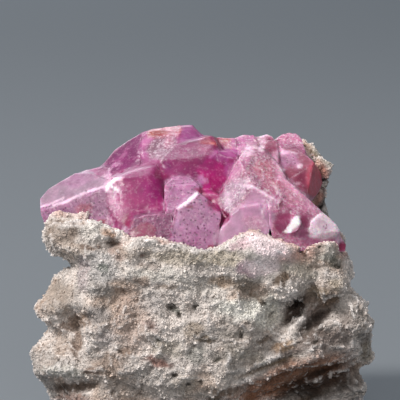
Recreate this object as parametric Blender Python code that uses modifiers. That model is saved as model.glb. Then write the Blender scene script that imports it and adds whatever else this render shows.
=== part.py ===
"""Cobaltoan calcite specimen: pink calcite crystals, grown together in the hollow top of a lump of
sugary matrix rock. Metres, +Z up, origin under the middle of the flat broken base, front towards -Y.

The crystals are convex solids, each bounded by flat faces. A crystal is laid out as it is seen from
the front: its outline, then the corners of each face in view, with their depths. The outline's sides
run straight back from it and close in a little, as the sides of a crystal do. Those that are hidden
are plain cleavage blocks of calcite. All of them meet, and are one solid.

The rock is blocked out from boxes and lumps, fused by a voxel remesh, carved and roughened, and cut
back a little from the crystals seated in it, so that the two solids never touch."""

import math
from dataclasses import dataclass

import bmesh
import bpy
from mathutils import Matrix, Vector, noise

MM = 0.001  # the tables below are in millimetres

# Driving dimensions.
SEAT_CLEARANCE = 0.3  # between the rock and the crystals seated in it
ROCK_VOXEL = 0.75  # side of the voxels that fuse the rock's masses
ROCK_TRIANGLES = 8200

# The front view: the place that it is seen from, and the plane on which outlines are measured.
EYE = Vector((-0.8, -460.6, 89.8))
FRONT_PLANE = -14.0


def seen(across, up, depth):
    """The place at a depth (its Y) that is seen at a point (across, up) of the front plane."""
    on_plane = Vector((across, FRONT_PLANE, up))
    share = (depth - EYE.y) / (FRONT_PLANE - EYE.y)
    return EYE + (on_plane - EYE) * share


def ramp(value, start, end):
    """How far a value is on the way from start to end, as a share from 0 to 1."""
    return min(1.0, max(0.0, (value - start) / (end - start)))


def direction(around, rise):
    """The unit vector that points this many degrees round from the viewer towards +X, and up."""
    flat = math.cos(math.radians(rise))
    return Vector((math.sin(math.radians(around)) * flat, -math.cos(math.radians(around)) * flat,
                   math.sin(math.radians(rise))))


def in_view(place):
    """The point (across, up) of the front plane at which a place is seen."""
    share = (FRONT_PLANE - EYE.y) / (place.y - EYE.y)
    on_plane = EYE + (place - EYE) * share
    return Vector((on_plane.x, on_plane.z))


# --- Rock ------------------------------------------------------------------------------------------


@dataclass(frozen=True)
class Mass:
    """A block, or a rounded lump, of rock: its centre, its full size, and its turn about X, Y and Z."""

    at: tuple
    size: tuple
    turn: tuple = (0, 0, 0)
    rounded: bool = False


@dataclass(frozen=True)
class Stroke:
    """A ridge (positive height) or a groove (negative) on the front, laid out in the front view:
    its two ends (across, up), its half-width, and its height towards the viewer."""

    start: tuple
    end: tuple
    reach: float
    height: float


BLOCKS = (
    Mass((-0.5, 2.5, 13.0), (40.5, 24.0, 27.0), (2, -1, 2)),
    Mass((-6.0, -8.8, 16.8), (23.0, 12.8, 25.6), (1, 2, -3)),
    Mass((2.1, -8.4, 17.9), (10.0, 13.0, 21.0), (0, 33, 0)),
    Mass((-7.5, -8.0, 5.5), (25.0, 12.6, 13.0), (0, 3, -2)),
    Mass((14.8, -6.6, 25.2), (11.0, 14.5, 8.8), (4, -6, 6)),
    Mass((13.6, -6.2, 13.4), (18.0, 13.6, 7.6), (0, -14, 5)),
    Mass((15.4, -2.4, 19.0), (9.5, 16.0, 8.0), (0, -30, 8)),
    Mass((1.0, 0.5, 3.0), (40.0, 23.0, 9.0), (0, -2, 3)),
    Mass((-17.8, -4.5, 16.0), (6.6, 14.0, 27.0), (0, 0, 4)),
    Mass((-2.0, 6.5, 27.0), (33.0, 20.0, 11.0), (17, 0, 3)),
    Mass((16.0, 8.8, 31.0), (5.0, 12.0, 18.0), (0, -4, 12)),
    Mass((5.5, 14.0, 30.0), (21.0, 5.5, 15.0), (-6, 4, -4)),
    Mass((-9.0, 13.6, 24.5), (22.0, 8.0, 19.0), (-5, -6, 8)),
)

LUMPS = (
    Mass((-19.0, -8.5, 28.8), (10.2, 12.0, 9.0), (0, 8, 0), True),
    Mass((-15.6, -11.0, 27.6), (8.0, 8.0, 9.6), (0, 0, 0), True),
    Mass((-16.5, -10.4, 23.0), (9.5, 9.0, 8.0), (0, 20, 0), True),
    Mass((-20.4, -6.5, 18.9), (8.8, 13.6, 9.6), (0, -14, 0), True),
    Mass((-20.6, -6.5, 10.0), (9.2, 13.6, 8.6), (0, 12, 0), True),
    Mass((-19.0, -5.5, 4.4), (9.4, 13.0, 9.0), (0, -8, 0), True),
    Mass((8.0, -11.6, 27.6), (13.0, 8.6, 9.0), (0, 6, 0), True),
    Mass((17.6, -8.4, 26.0), (7.4, 10.0, 7.4), (0, 0, 0), True),
    Mass((20.0, 0.0, 16.0), (6.0, 16.0, 10.0), (0, -14, 0), True),
    Mass((19.0, 2.0, 24.0), (5.6, 15.0, 11.0), (0, -6, 0), True),
    Mass((-18.0, 3.4, 26.4), (7.8, 13.0, 9.6), (0, 0, 8), True),
    Mass((-19.0, 8.0, 12.0), (10.0, 14.0, 20.0), (0, 0, -14), True),
    Mass((-19.5, 6.0, 28.0), (7.0, 12.0, 9.0), (0, 10, -20), True),
    Mass((22.6, 0.0, 10.6), (7.2, 12.0, 5.8), (0, 10, 0), True),
    Mass((19.5, 2.0, 6.0), (8.6, 18.0, 12.0), (0, 0, 0), True),
    Mass((15.2, 10.4, 38.4), (5.4, 7.4, 5.6), (0, 20, 0), True),
    Mass((-13.0, 14.0, 15.0), (17.0, 10.0, 14.0), (0, 0, 10), True),
    Mass((4.0, 15.0, 20.0), (17.0, 9.0, 15.0), (10, 0, 0), True),
    Mass((13.0, 13.0, 11.0), (15.0, 10.0, 17.0), (0, 0, -15), True),
    Mass((-3.0, 14.5, 7.0), (18.0, 9.0, 11.0), (0, 0, 0), True),
)

# Flat fractures of the sides and back: the way each faces (degrees round from the viewer towards
# +X, and up) and its distance from the middle of the rock.
FRACTURES = (
    (114, -8, 22.6), (138, 2, 22.0), (163, -4, 17.8), (196, 8, 18.0), (222, -8, 20.4),
    (246, 10, 21.8), (178, 38, 24.6), (206, 34, 24.8), (150, -34, 22.0), (230, -30, 23.4),
    (292, -32, 26.8), (84, -30, 25.6), (90, 45, 27.6),
)
FRACTURE_CENTRE = Vector((0, 0, 18))

# The top of the rock in front of the crystals, from the left.
RIM = (
    (-26.0, 30.0), (-24.2, 30.8), (-23.2, 31.8), (-21.0, 32.3), (-19.4, 32.4), (-18.2, 32.8),
    (-16.8, 32.4), (-15.7, 31.4), (-14.6, 31.0), (-13.2, 30.9), (-12.0, 30.2), (-10.8, 29.8),
    (-8.0, 29.6), (-5.4, 28.9), (-3.6, 28.4), (-2.2, 27.8), (0.0, 27.6), (1.6, 27.7), (2.6, 28.3),
    (4.0, 29.3), (5.6, 30.6), (7.2, 31.5), (8.6, 31.9), (9.7, 31.1), (11.2, 29.9), (12.2, 29.0),
    (14.2, 28.7), (17.0, 28.9), (20.0, 28.6), (21.0, 27.6), (24.0, 26.0),
)
RIM_DEPTH = -8.0  # the rim reaches back to this Y
RIM_KEPT = 0.1  # share of the height above the rim that is left standing

STROKES = (
    # the left side: crevice, waist, hollow, cleft, and the ledge low down
    Stroke((-14.6, 28.1), (-12.4, 28.6), 1.0, -2.8),
    Stroke((-18.6, 30.6), (-18.2, 29.2), 0.6, -0.9),
    Stroke((-23.0, 25.4), (-19.6, 25.4), 1.3, -1.8),
    Stroke((-19.8, 17.3), (-17.2, 17.0), 1.1, -2.6),
    Stroke((-18.9, 16.3), (-18.6, 12.2), 0.8, -2.2),
    Stroke((-18.6, 12.2), (-17.6, 10.6), 0.7, -1.2),
    Stroke((-24.5, 9.9), (-16.0, 10.1), 0.8, 1.2),
    Stroke((-23.5, 8.0), (-16.8, 7.6), 1.1, -1.8),
    Stroke((-18.8, 7.1), (-17.8, 7.0), 0.8, -1.6),
    # the white front: its upper ridge, the brown recess under it, cracks, a pebble and pits
    Stroke((-11.0, 23.9), (-1.0, 24.4), 1.3, 0.7),
    Stroke((1.6, 22.2), (8.2, 21.4), 1.1, -1.1),
    Stroke((-13.0, 22.2), (-11.0, 20.6), 0.7, -0.6),
    Stroke((-5.6, 19.5), (-4.8, 18.9), 0.7, -1.6),
    Stroke((-4.4, 18.4), (-4.1, 17.7), 0.6, -1.3),
    Stroke((-1.8, 19.5), (-1.1, 19.2), 0.6, -1.5),
    Stroke((-10.0, 26.0), (-9.6, 25.7), 0.7, -1.0),
    Stroke((-5.0, 9.2), (-4.4, 9.0), 0.7, -1.8),
    Stroke((-2.8, 7.9), (-2.2, 7.7), 0.5, -1.0),
    Stroke((5.1, 15.7), (5.5, 14.2), 0.5, -1.2),
    Stroke((-7.0, 10.9), (-5.8, 10.4), 0.9, -0.9),
    Stroke((-2.2, 15.9), (-1.4, 15.5), 1.1, 1.0),
    # the right side: two slanting grooves with a ridge between them, and slanting layers below
    Stroke((15.3, 21.5), (13.3, 19.2), 1.2, -3.2),
    Stroke((13.3, 19.2), (11.7, 16.0), 1.1, -3.0),
    Stroke((11.4, 16.0), (9.0, 13.7), 0.6, -1.4),
    Stroke((17.4, 21.2), (11.9, 15.7), 0.8, 1.6),
    Stroke((20.4, 19.8), (16.8, 17.9), 1.0, -2.4),
    Stroke((16.8, 17.9), (14.2, 15.7), 0.9, -2.6),
    Stroke((20.5, 21.4), (17.4, 19.4), 0.9, 1.0),
    Stroke((10.4, 23.0), (12.6, 24.3), 0.7, -1.6),
    Stroke((2.6, 6.0), (14.0, 10.0), 0.8, 1.3),
    Stroke((6.0, 4.6), (18.0, 9.0), 0.8, 1.3),
    Stroke((10.0, 3.0), (19.0, 6.4), 0.8, 1.2),
    Stroke((8.6, 29.6), (12.8, 27.8), 0.8, 0.9),
    Stroke((18.0, 25.6), (19.6, 26.2), 0.6, -1.2),
)
STROKE_SPREAD = 1.5  # a stroke fades out at this many half-widths
STROKE_BACK = 2.0  # strokes are cut only in front of this Y
STROKE_NONE, STROKE_FULL = -0.3, 0.7  # how squarely the rock faces forwards where they start and are whole


@dataclass(frozen=True)
class Undercut:
    """Where the front is worn back below a line of the front view (from left to right): by this
    share of the distance below the line, and no more than the depth."""

    start: tuple
    end: tuple
    share: float
    depth: float


@dataclass(frozen=True)
class Waist:
    """A band round one side of the rock that is moved outwards, or inwards where below 0: which side
    (-1 left, 1 right), its height in the front view, its half-width, and how far it moves."""

    side: int
    up: float
    reach: float
    out: float


WAISTS = (
    Waist(-1, 25.2, 3.3, -2.4), Waist(-1, 21.6, 2.2, -1.9), Waist(-1, 18.8, 1.2, 1.0),
    Waist(-1, 14.6, 1.0, -0.4), Waist(-1, 12.6, 1.2, 0.6), Waist(-1, 9.4, 2.0, 1.3),
    Waist(1, 27.3, 3.3, -0.5), Waist(1, 22.5, 1.4, -0.5), Waist(1, 19.6, 1.0, 1.4),
    Waist(1, 17.2, 1.5, 2.2), Waist(1, 15.6, 1.2, 1.2), Waist(1, 13.6, 1.3, -0.9),
    Waist(1, 11.2, 1.8, 1.0), Waist(1, 8.4, 1.6, 0.4), Waist(1, 6.0, 2.0, 2.6),
)
WAIST_FROM, WAIST_FULL = 13.0, 19.5  # how far out across the rock the bands begin, and are whole

UNDERCUTS = (
    Undercut((0.5, 6.0), (21.6, 14.6), 1.1, 6.5),
    Undercut((-25.0, 9.4), (-14.0, 9.0), 0.5, 1.6),
)
UNDERCUT_LEAD = 4.0  # an undercut grows over this distance ahead of the start of its line
UNDERCUT_FROM, UNDERCUT_FULL = 2.0, -10.0  # Y where the undercuts begin, and are whole

# Roughness of the rock: (distance between bumps, height). Crumbs are rounded, with sharp creases
# between them, and crags are sharp ridges. A level is the share of their height that lies inside
# the surface.
ROUGHNESS = ((11.0, 0.9), (5.0, 0.5), (2.4, 0.35))
ROUGHNESS_SEED = Vector((3.7, 11.3, 5.9))
CRUMBS = ((5.2, 0.75), (2.6, 0.7))
CRUMBS_SEED = Vector((8.1, 2.6, 14.3))
CRUMBS_LEVEL = 0.4
CRAGS = ((7.4, 0.9),)
CRAGS_SEED = Vector((1.9, 6.4, 9.2))
CRAGS_LEVEL = 0.7


# --- Crystals --------------------------------------------------------------------------------------


@dataclass(frozen=True)
class Crystal:
    """A crystal laid out in the front view.

    outline: corners of its outline (across, up), clockwise from the left.
    depths: Y of its nearest and farthest parts.
    faces: three corners (across, up, depth) of each face in view.
    narrow: share of its width left at the back.
    """

    outline: tuple
    depths: tuple
    faces: tuple = ()
    narrow: float = 0.85


@dataclass(frozen=True)
class CleavageBlock:
    """A block of calcite bounded by cleavage faces.

    at: its centre.
    size: distance between its opposite faces, along each of the three directions.
    axis: the way its main axis points: degrees round from the viewer towards +X, and up.
    spin: degrees turned about that axis.
    """

    at: tuple
    size: tuple
    axis: tuple
    spin: float = 0.0


CLEAVAGE = 44.6  # degrees between calcite's main axis and the normals of its cleavage faces
CUT_FROM = 80  # side of the cube that each crystal is cut out of
HEART = 0.45  # place between a crystal's back (0) and its front (1) that is inside all its faces

CRYSTALS = {
    "left_block": Crystal(
        ((-24.3, 35.2), (-22.9, 36.8), (-18.9, 39.15), (-16.5, 39.0), (-13.4, 37.6), (-13.2, 30.0),
         (-23.4, 31.0), (-24.15, 33.0)),
        (-9.0, 6.0),
        (((-23.6, 33.6, -5.4), (-14.0, 37.1, -7.0), (-18.9, 39.1, -1.4)),
         ((-23.6, 33.6, -5.4), (-14.0, 37.1, -7.0), (-18.5, 30.0, -7.6)),
         ((-24.2, 33.9, -4.7), (-20.6, 35.25, -5.2), (-22.3, 34.1, -5.5))),
        0.9),
    "left_ridge": Crystal(
        ((-19.6, 38.4), (-17.6, 39.5), (-14.6, 39.9), (-12.0, 39.0), (-12.0, 33.0), (-19.6, 33.0)),
        (-1.5, 9.0),
        (((-19.0, 38.4, 1.6), (-14.2, 39.6, 1.2), (-15.0, 36.0, -2.0)),)),
    "back_slope": Crystal(
        ((-16.0, 38.2), (-15.2, 39.9), (-13.2, 42.4), (-11.2, 43.8), (-9.0, 45.1), (-8.2, 45.2),
         (-7.6, 34.0), (-15.5, 34.0)),
        (-4.0, 11.0),
        (((-15.6, 38.8, 1.4), (-8.9, 45.0, 4.2), (-11.0, 38.0, -3.2)),
         ((-12.2, 42.0, 1.4), (-12.0, 38.0, -2.6), (-9.0, 42.0, 1.2)),
         ((-14.0, 41.0, 6.0), (-9.0, 44.6, 8.0), (-11.0, 36.0, 12.0))),
        0.95),
    "peak": Crystal(
        ((-9.2, 44.4), (-8.1, 45.4), (-3.0, 46.05), (-2.0, 46.1), (-1.2, 45.3), (-0.2, 44.1),
         (-1.0, 37.0), (-9.4, 37.0)),
        (-3.0, 12.0),
        (((-8.4, 42.2, 0.4), (-4.2, 43.9, 1.6), (-6.5, 40.7, -1.8)),
         ((-8.2, 44.6, 3.0), (-3.8, 44.7, 2.6), (-5.5, 45.8, 6.5)),
         ((-3.9, 44.7, 2.6), (-3.9, 43.2, 1.0), (-0.4, 44.1, 4.6)),
         ((-8.0, 45.0, 8.0), (-1.0, 45.0, 9.0), (-4.0, 38.0, 13.0))),
        0.95),
    "middle": Crystal(
        ((-6.8, 40.5), (-5.5, 42.0), (-4.2, 43.1), (-0.8, 44.15), (1.1, 44.7), (2.3, 42.8),
         (3.0, 38.0), (2.4, 32.0), (-6.4, 32.0)),
        (-7.6, 8.0),
        (((-5.4, 42.2, -1.6), (1.6, 43.6, -0.2), (-2.0, 41.2, -3.6)),
         ((-6.2, 40.4, -4.0), (0.2, 40.2, -4.6), (0.2, 35.0, -7.4)),
         ((0.2, 40.2, -4.6), (0.2, 35.0, -7.4), (2.8, 38.0, -4.4)),
         ((1.5, 43.4, -0.9), (2.3, 39.5, -3.4), (3.2, 42.0, 4.0))),
        0.95),
    "middle_right": Crystal(
        ((-0.4, 42.2), (4.0, 42.3), (4.7, 41.8), (4.8, 40.4), (3.2, 35.0), (0.5, 34.0)),
        (-5.0, 6.0),
        (((0.8, 42.0, -2.7), (4.6, 41.8, -1.2), (3.6, 40.9, -2.8)),
         ((0.8, 41.0, -3.4), (4.6, 41.0, -2.2), (3.0, 37.2, -4.9)))),
    "left_deep": Crystal(
        ((-14.7, 38.2), (-12.4, 39.1), (-9.2, 40.3), (-7.0, 40.5), (-6.1, 38.6), (-5.8, 34.0),
         (-5.8, 30.0), (-13.2, 29.5), (-14.3, 33.5)),
        (-12.0, 4.0),
        (((-12.2, 38.4, -6.8), (-6.3, 38.6, -7.4), (-8.0, 32.4, -10.6)),
         ((-12.2, 38.4, -6.8), (-12.1, 31.0, -11.2), (-14.5, 36.0, -6.4)),
         ((-12.4, 38.4, -6.4), (-7.0, 39.4, -6.6), (-8.5, 40.4, -3.6)),
         ((-7.6, 38.9, -6.7), (-6.8, 36.6, -8.2), (-5.6, 38.8, -4.4)))),
    "frosted_foot": Crystal(
        ((-12.2, 30.6), (-10.8, 32.2), (-8.5, 32.9), (-5.0, 33.0), (-4.4, 30.0), (-4.8, 27.0),
         (-11.0, 27.5)),
        (-13.4, -4.0),
        (((-10.8, 32.2, -11.4), (-5.4, 32.8, -12.0), (-7.5, 29.0, -13.6)),
         ((-12.0, 30.8, -11.2), (-10.8, 32.2, -11.4), (-10.6, 29.0, -13.2)))),
    "frosted_back": Crystal(
        ((-6.15, 37.2), (-5.0, 38.3), (-2.2, 38.5), (-0.8, 37.2), (-0.4, 30.0), (-5.4, 29.0),
         (-5.9, 33.0)),
        (-11.9, 2.0),
        (((-6.1, 37.3, -8.6), (-1.0, 37.3, -8.4), (-4.8, 33.0, -11.8)),
         ((-5.0, 38.3, -6.4), (-1.5, 38.4, -6.2), (-4.0, 37.2, -8.6)))),
    "frosted_blade": Crystal(
        ((-4.35, 34.0), (-1.4, 36.2), (-0.8, 36.0), (1.4, 34.2), (2.35, 33.1), (2.3, 31.5),
         (1.2, 27.5), (-4.6, 26.5), (-5.4, 28.9)),
        (-13.6, -4.0),
        (((-4.1, 33.8, -12.3), (0.9, 29.1, -13.3), (-1.1, 35.7, -11.5)),
         ((-4.1, 33.8, -12.3), (-1.1, 35.7, -11.5), (-1.3, 36.2, -10.3)))),
    "crimson_slip": Crystal(
        ((-1.2, 36.6), (1.6, 36.4), (4.0, 32.6), (1.6, 27.2), (-0.5, 28.0)),
        (-12.4, -2.0),
        (((0.0, 36.0, -8.6), (2.0, 33.8, -10.2), (1.6, 29.0, -12.2)),)),
    "big_pale": Crystal(
        ((1.8, 35.6), (4.1, 40.0), (5.2, 41.9), (6.3, 43.1), (7.9, 43.1), (9.4, 41.8),
         (10.9, 40.1), (11.9, 38.4), (12.0, 37.0), (10.4, 33.6), (8.8, 31.0), (4.6, 31.6),
         (3.4, 32.6), (2.05, 34.1)),
        (-12.6, 4.0),
        (((6.9, 37.0, -11.6), (3.6, 32.7, -12.2), (4.9, 41.0, -7.8)),
         ((6.9, 37.0, -11.6), (3.6, 32.7, -12.2), (9.9, 35.2, -12.1)),
         ((6.9, 37.0, -11.6), (9.9, 35.2, -12.1), (7.0, 42.5, -4.6)),
         ((5.9, 41.8, -5.2), (8.9, 41.8, -5.0), (7.4, 43.0, -2.0))),
        0.92),
    "waxy_foot": Crystal(
        ((0.9, 29.1), (3.6, 32.75), (5.6, 34.1), (9.0, 34.6), (10.0, 33.0), (9.2, 30.0), (4.0, 26.5),
         (1.5, 27.6)),
        (-13.8, -4.0),
        (((0.9, 29.1, -12.7), (3.6, 32.7, -12.5), (8.8, 31.9, -13.4)),
         ((8.8, 31.9, -13.4), (8.9, 34.2, -12.2), (10.2, 33.2, -11.8)))),
    "long_wedge": Crystal(
        ((9.0, 35.0), (10.2, 38.6), (12.2, 38.1), (18.75, 31.85), (19.7, 30.2), (20.0, 29.2),
         (19.8, 27.8), (10.5, 27.0), (9.4, 31.0)),
        (-13.8, 2.0),
        (((12.6, 37.7, -8.0), (18.6, 31.9, -9.6), (9.9, 35.2, -11.4)),
         ((10.0, 33.4, -12.8), (16.5, 33.2, -9.6), (12.5, 29.4, -13.2))),
        0.75),
    "bright_chip": Crystal(
        ((11.3, 30.35), (13.1, 32.7), (13.6, 32.6), (14.0, 31.3), (13.3, 30.4), (12.3, 30.1)),
        (-14.2, -9.0),
        (((11.4, 30.4, -13.3), (13.2, 32.6, -12.2), (13.9, 31.2, -12.9)),)),
    "glassy_end": Crystal(
        ((15.1, 30.4), (15.4, 31.8), (16.6, 33.0), (17.2, 33.1), (18.35, 32.15), (19.3, 31.2),
         (19.8, 30.3), (19.3, 29.6), (17.3, 29.3), (15.8, 29.6)),
        (-12.4, -3.0),
        (((15.3, 30.6, -11.7), (16.8, 32.8, -10.5), (18.8, 30.2, -10.9)),
         ((15.6, 29.9, -11.6), (19.4, 30.0, -10.4), (17.4, 29.4, -10.6)))),
    "right_foot": Crystal(
        ((11.0, 30.2), (15.0, 30.2), (19.6, 29.8), (20.1, 29.3), (20.7, 28.4), (20.5, 27.4),
         (11.0, 27.0)),
        (-11.6, -1.0),
        (((11.4, 30.2, -11.6), (19.8, 29.4, -8.6), (15.0, 28.6, -11.2)),)),
    "red_brown": Crystal(
        ((9.8, 41.0), (11.2, 42.4), (13.2, 42.6), (14.6, 41.7), (15.9, 40.5), (17.0, 38.8),
         (17.15, 37.4), (16.5, 36.0), (15.0, 34.4), (12.0, 32.0), (9.8, 33.0)),
        (-4.4, 7.0),
        (((10.2, 41.4, 0.4), (13.9, 40.9, 0.0), (12.2, 38.8, -2.4)),
         ((12.6, 38.2, -3.0), (15.7, 40.3, -0.6), (14.9, 36.3, -3.4)),
         ((15.7, 40.3, -0.6), (14.9, 36.3, -3.4), (17.0, 37.6, 3.4))),
        0.95),
    "back_peach": Crystal(
        ((1.2, 44.0), (1.8, 44.35), (4.3, 44.25), (4.8, 41.6), (4.5, 36.0), (1.2, 36.0)),
        (-0.4, 12.0),
        (((1.4, 44.0, 3.8), (4.2, 43.9, 4.2), (3.0, 42.0, 1.4)),
         ((1.4, 44.0, 6.4), (4.2, 44.0, 7.2), (3.0, 38.0, 9.6)))),
    "back_lilac": Crystal(
        ((3.9, 44.1), (5.3, 44.8), (7.1, 44.7), (7.5, 43.6), (8.4, 41.0), (8.0, 36.0), (4.0, 36.0)),
        (-1.2, 13.0),
        (((4.2, 44.0, 5.6), (7.0, 44.2, 6.0), (5.6, 41.5, 1.0)),
         ((4.2, 44.2, 9.6), (7.0, 44.2, 8.2), (5.6, 39.0, 12.4)))),
    "back_tips": Crystal(
        ((6.9, 44.3), (8.2, 44.7), (9.0, 44.9), (9.9, 44.4), (10.3, 41.0), (9.8, 36.0), (7.0, 36.0)),
        (1.0, 14.0),
        (((7.2, 44.0, 7.0), (9.8, 44.0, 6.6), (8.6, 41.4, 2.4)),
         ((7.2, 44.4, 8.4), (9.8, 44.2, 9.8), (8.6, 39.0, 12.8)))),
    "back_crimson": Crystal(
        ((8.2, 42.6), (9.0, 43.9), (10.3, 43.9), (10.6, 42.0), (10.4, 36.0), (8.4, 36.0)),
        (-2.4, 9.0),
        (((8.5, 42.6, 1.2), (10.4, 43.0, 1.6), (9.3, 41.0, -1.6)),)),
    "back_pink": Crystal(
        ((8.9, 42.4), (10.9, 44.75), (12.0, 45.1), (13.2, 45.0), (14.1, 44.1), (14.6, 42.0),
         (14.0, 36.0), (9.0, 36.0)),
        (1.6, 11.0),
        (((10.2, 43.8, 4.4), (13.6, 43.8, 4.8), (12.4, 42.0, 1.8)),
         ((10.6, 44.4, 5.6), (13.4, 44.4, 5.4), (12.2, 45.0, 8.0)),
         ((10.4, 44.4, 9.0), (13.6, 44.2, 8.2), (12.2, 39.0, 12.6)))),
}

HIDDEN_BLOCKS = (
    CleavageBlock((-17.6, 5.6, 32.6), (5.6, 5.0, 5.8), (220, 50), 50),
    CleavageBlock((-13.4, 8.6, 34.2), (5.4, 6.4, 5.8), (160, 60), 20),
    CleavageBlock((-9.6, 10.0, 37.0), (4.6, 5.6, 5.0), (190, 35), 85),
    CleavageBlock((-5.4, 11.2, 36.6), (6.6, 6.0, 5.4), (205, 50), 70),
    CleavageBlock((-1.0, 9.8, 38.8), (4.4, 5.0, 4.6), (150, 40), 15),
    CleavageBlock((3.0, 10.6, 36.8), (6.4, 5.4, 5.6), (175, 60), 40),
    CleavageBlock((7.4, 12.0, 36.4), (5.4, 5.8, 5.0), (215, 45), 100),
    CleavageBlock((10.6, 10.2, 36.8), (5.2, 4.8, 5.4), (150, 55), 10),
    CleavageBlock((-16.6, 0.4, 33.6), (4.4, 4.8, 4.2), (240, 60), 35),
)


def plane_through(first, second, third, inside):
    """A point and the outward normal of the plane through three points, for a solid around a point."""
    normal = (second - first).cross(third - first).normalized()
    if normal.dot(inside - first) > 0:
        normal.negate()
    return first, normal


def crystal_planes(crystal):
    """The planes that bound a crystal laid out in the front view."""
    near, far = crystal.depths
    count = len(crystal.outline)
    middle = [sum(corner[i] for corner in crystal.outline) / count for i in (0, 1)]
    front = [seen(across, up, near) for across, up in crystal.outline]
    back = [
        seen(middle[0] + (across - middle[0]) * crystal.narrow,
             middle[1] + (up - middle[1]) * crystal.narrow, far)
        for across, up in crystal.outline
    ]
    inside = seen(*middle, far - HEART * (far - near))
    planes = [
        plane_through(front[i], front[(i + 1) % count], back[i], inside) for i in range(count)
    ]
    planes.append(plane_through(back[0], back[1], back[2], inside))
    planes.append(plane_through(front[0], front[1], front[2], inside))
    for corners in crystal.faces:
        planes.append(plane_through(*[seen(*corner) for corner in corners], inside))
    return inside, planes


def block_planes(block):
    """The three pairs of planes that bound a cleavage block."""
    spin = Matrix.Rotation(math.radians(block.spin), 3, "Z")
    turn = direction(*block.axis).to_track_quat("Z", "Y").to_matrix() @ spin
    centre = Vector(block.at)
    planes = []
    for index, size in enumerate(block.size):
        lean = Matrix.Rotation(math.radians(120 * index), 3, "Z") @ Vector(
            (math.sin(math.radians(CLEAVAGE)), 0, math.cos(math.radians(CLEAVAGE))))
        normal = turn @ lean
        planes.append((centre + normal * size / 2, normal))
        planes.append((centre - normal * size / 2, -normal))
    return centre, planes


def convex_solid(name, inside, planes, grow, collection):
    """An object bounded by planes, each moved out by a distance. Lengths in millimetres."""
    mesh = bmesh.new()
    bmesh.ops.create_cube(mesh, size=CUT_FROM, matrix=Matrix.Translation(inside))
    for point, normal in planes:
        cut = bmesh.ops.bisect_plane(
            mesh, geom=mesh.verts[:] + mesh.edges[:] + mesh.faces[:], dist=1e-5,
            plane_co=point + normal * grow, plane_no=normal, clear_outer=True)
        rim = [item for item in cut["geom_cut"] if isinstance(item, bmesh.types.BMEdge)]
        if rim:
            bmesh.ops.contextual_create(mesh, geom=rim)
    bmesh.ops.recalc_face_normals(mesh, faces=mesh.faces)
    bmesh.ops.scale(mesh, vec=(MM, MM, MM), verts=mesh.verts)
    return add_object(name, mesh, collection)


def add_object(name, mesh, collection):
    """Put a bmesh in a new object of a collection."""
    data = bpy.data.meshes.new(name)
    mesh.to_mesh(data)
    mesh.free()
    made = bpy.data.objects.new(name, data)
    collection.objects.link(made)
    return made


def apply_modifiers(target):
    """Replace an object's mesh with what its modifiers make of it."""
    bpy.context.view_layer.update()
    graph = bpy.context.evaluated_depsgraph_get()
    result = bpy.data.meshes.new_from_object(target.evaluated_get(graph))
    target.modifiers.clear()
    target.data = result


def join_exactly(name, pieces, collection):
    """One solid from overlapping pieces, which are used up."""
    whole = pieces[0]
    for piece in pieces[1:]:
        union = whole.modifiers.new("union", "BOOLEAN")
        union.operation = "UNION"
        union.solver = "EXACT"
        union.object = piece
        apply_modifiers(whole)
        bpy.data.objects.remove(piece)
    whole.name = name
    whole.data.name = name
    for owner in list(whole.users_collection):
        owner.objects.unlink(whole)
    collection.objects.link(whole)
    return whole


def build_crystals(name, grow, collection, workshop):
    """All the crystals as one solid, with every face moved out by a distance in millimetres."""
    pieces = []
    for label, crystal in CRYSTALS.items():
        inside, planes = crystal_planes(crystal)
        pieces.append(convex_solid(label, inside, planes, grow, workshop))
    for block in HIDDEN_BLOCKS:
        inside, planes = block_planes(block)
        pieces.append(convex_solid("hidden_block", inside, planes, grow, workshop))
    return join_exactly(name, pieces, collection)


def mass_mesh(mesh, mass):
    """Add a mass of rock to a bmesh. Lengths in millimetres."""
    turn = Matrix.Identity(3)
    for angle, axis in zip(mass.turn, "XYZ"):
        turn = Matrix.Rotation(math.radians(angle), 3, axis) @ turn
    place = Matrix.Translation(mass.at) @ turn.to_4x4() @ Matrix.Diagonal((*mass.size, 1))
    if mass.rounded:
        bmesh.ops.create_icosphere(mesh, subdivisions=4, radius=0.5, matrix=place)
    else:
        bmesh.ops.create_cube(mesh, size=1, matrix=place)


def rim_height(across):
    """The height of the rock in front of the crystals, in the front view."""
    for (left, left_up), (right, right_up) in zip(RIM, RIM[1:]):
        if across <= right:
            return left_up + (right_up - left_up) * ramp(across, left, right)
    return RIM[-1][1]


def stroke_height(point):
    """How far the strokes move the front of the rock towards the viewer, at a point in view."""
    total = 0.0
    for stroke in STROKES:
        start = Vector(stroke.start)
        along = Vector(stroke.end) - start
        share = ramp((point - start).dot(along), 0, along.length_squared)
        distance = (point - start - along * share).length / (stroke.reach * STROKE_SPREAD)
        if distance < 1:
            total += stroke.height * (1 - distance * distance) ** 2
    return total


def roughness(place):
    """How far the rock's surface stands out at a place, from its bumps, crumbs and crags."""
    bump = sum(
        noise.noise(place / spacing + ROUGHNESS_SEED) * height for spacing, height in ROUGHNESS)
    bump += sum(
        (abs(noise.noise(place / spacing + CRUMBS_SEED)) * 2 - CRUMBS_LEVEL) * height
        for spacing, height in CRUMBS)
    bump += sum(
        (1 - CRAGS_LEVEL - abs(noise.noise(place / spacing + CRAGS_SEED)) * 2) * height
        for spacing, height in CRAGS)
    return bump


def waist_shift(place):
    """How far the waists move a place across."""
    total = 0.0
    up = in_view(place).y
    for waist in WAISTS:
        share = ramp(place.x * waist.side, WAIST_FROM, WAIST_FULL)
        distance = (up - waist.up) / waist.reach
        if share > 0 and abs(distance) < 1:
            total += waist.side * waist.out * share * (1 - distance * distance) ** 2
    return total


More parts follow.
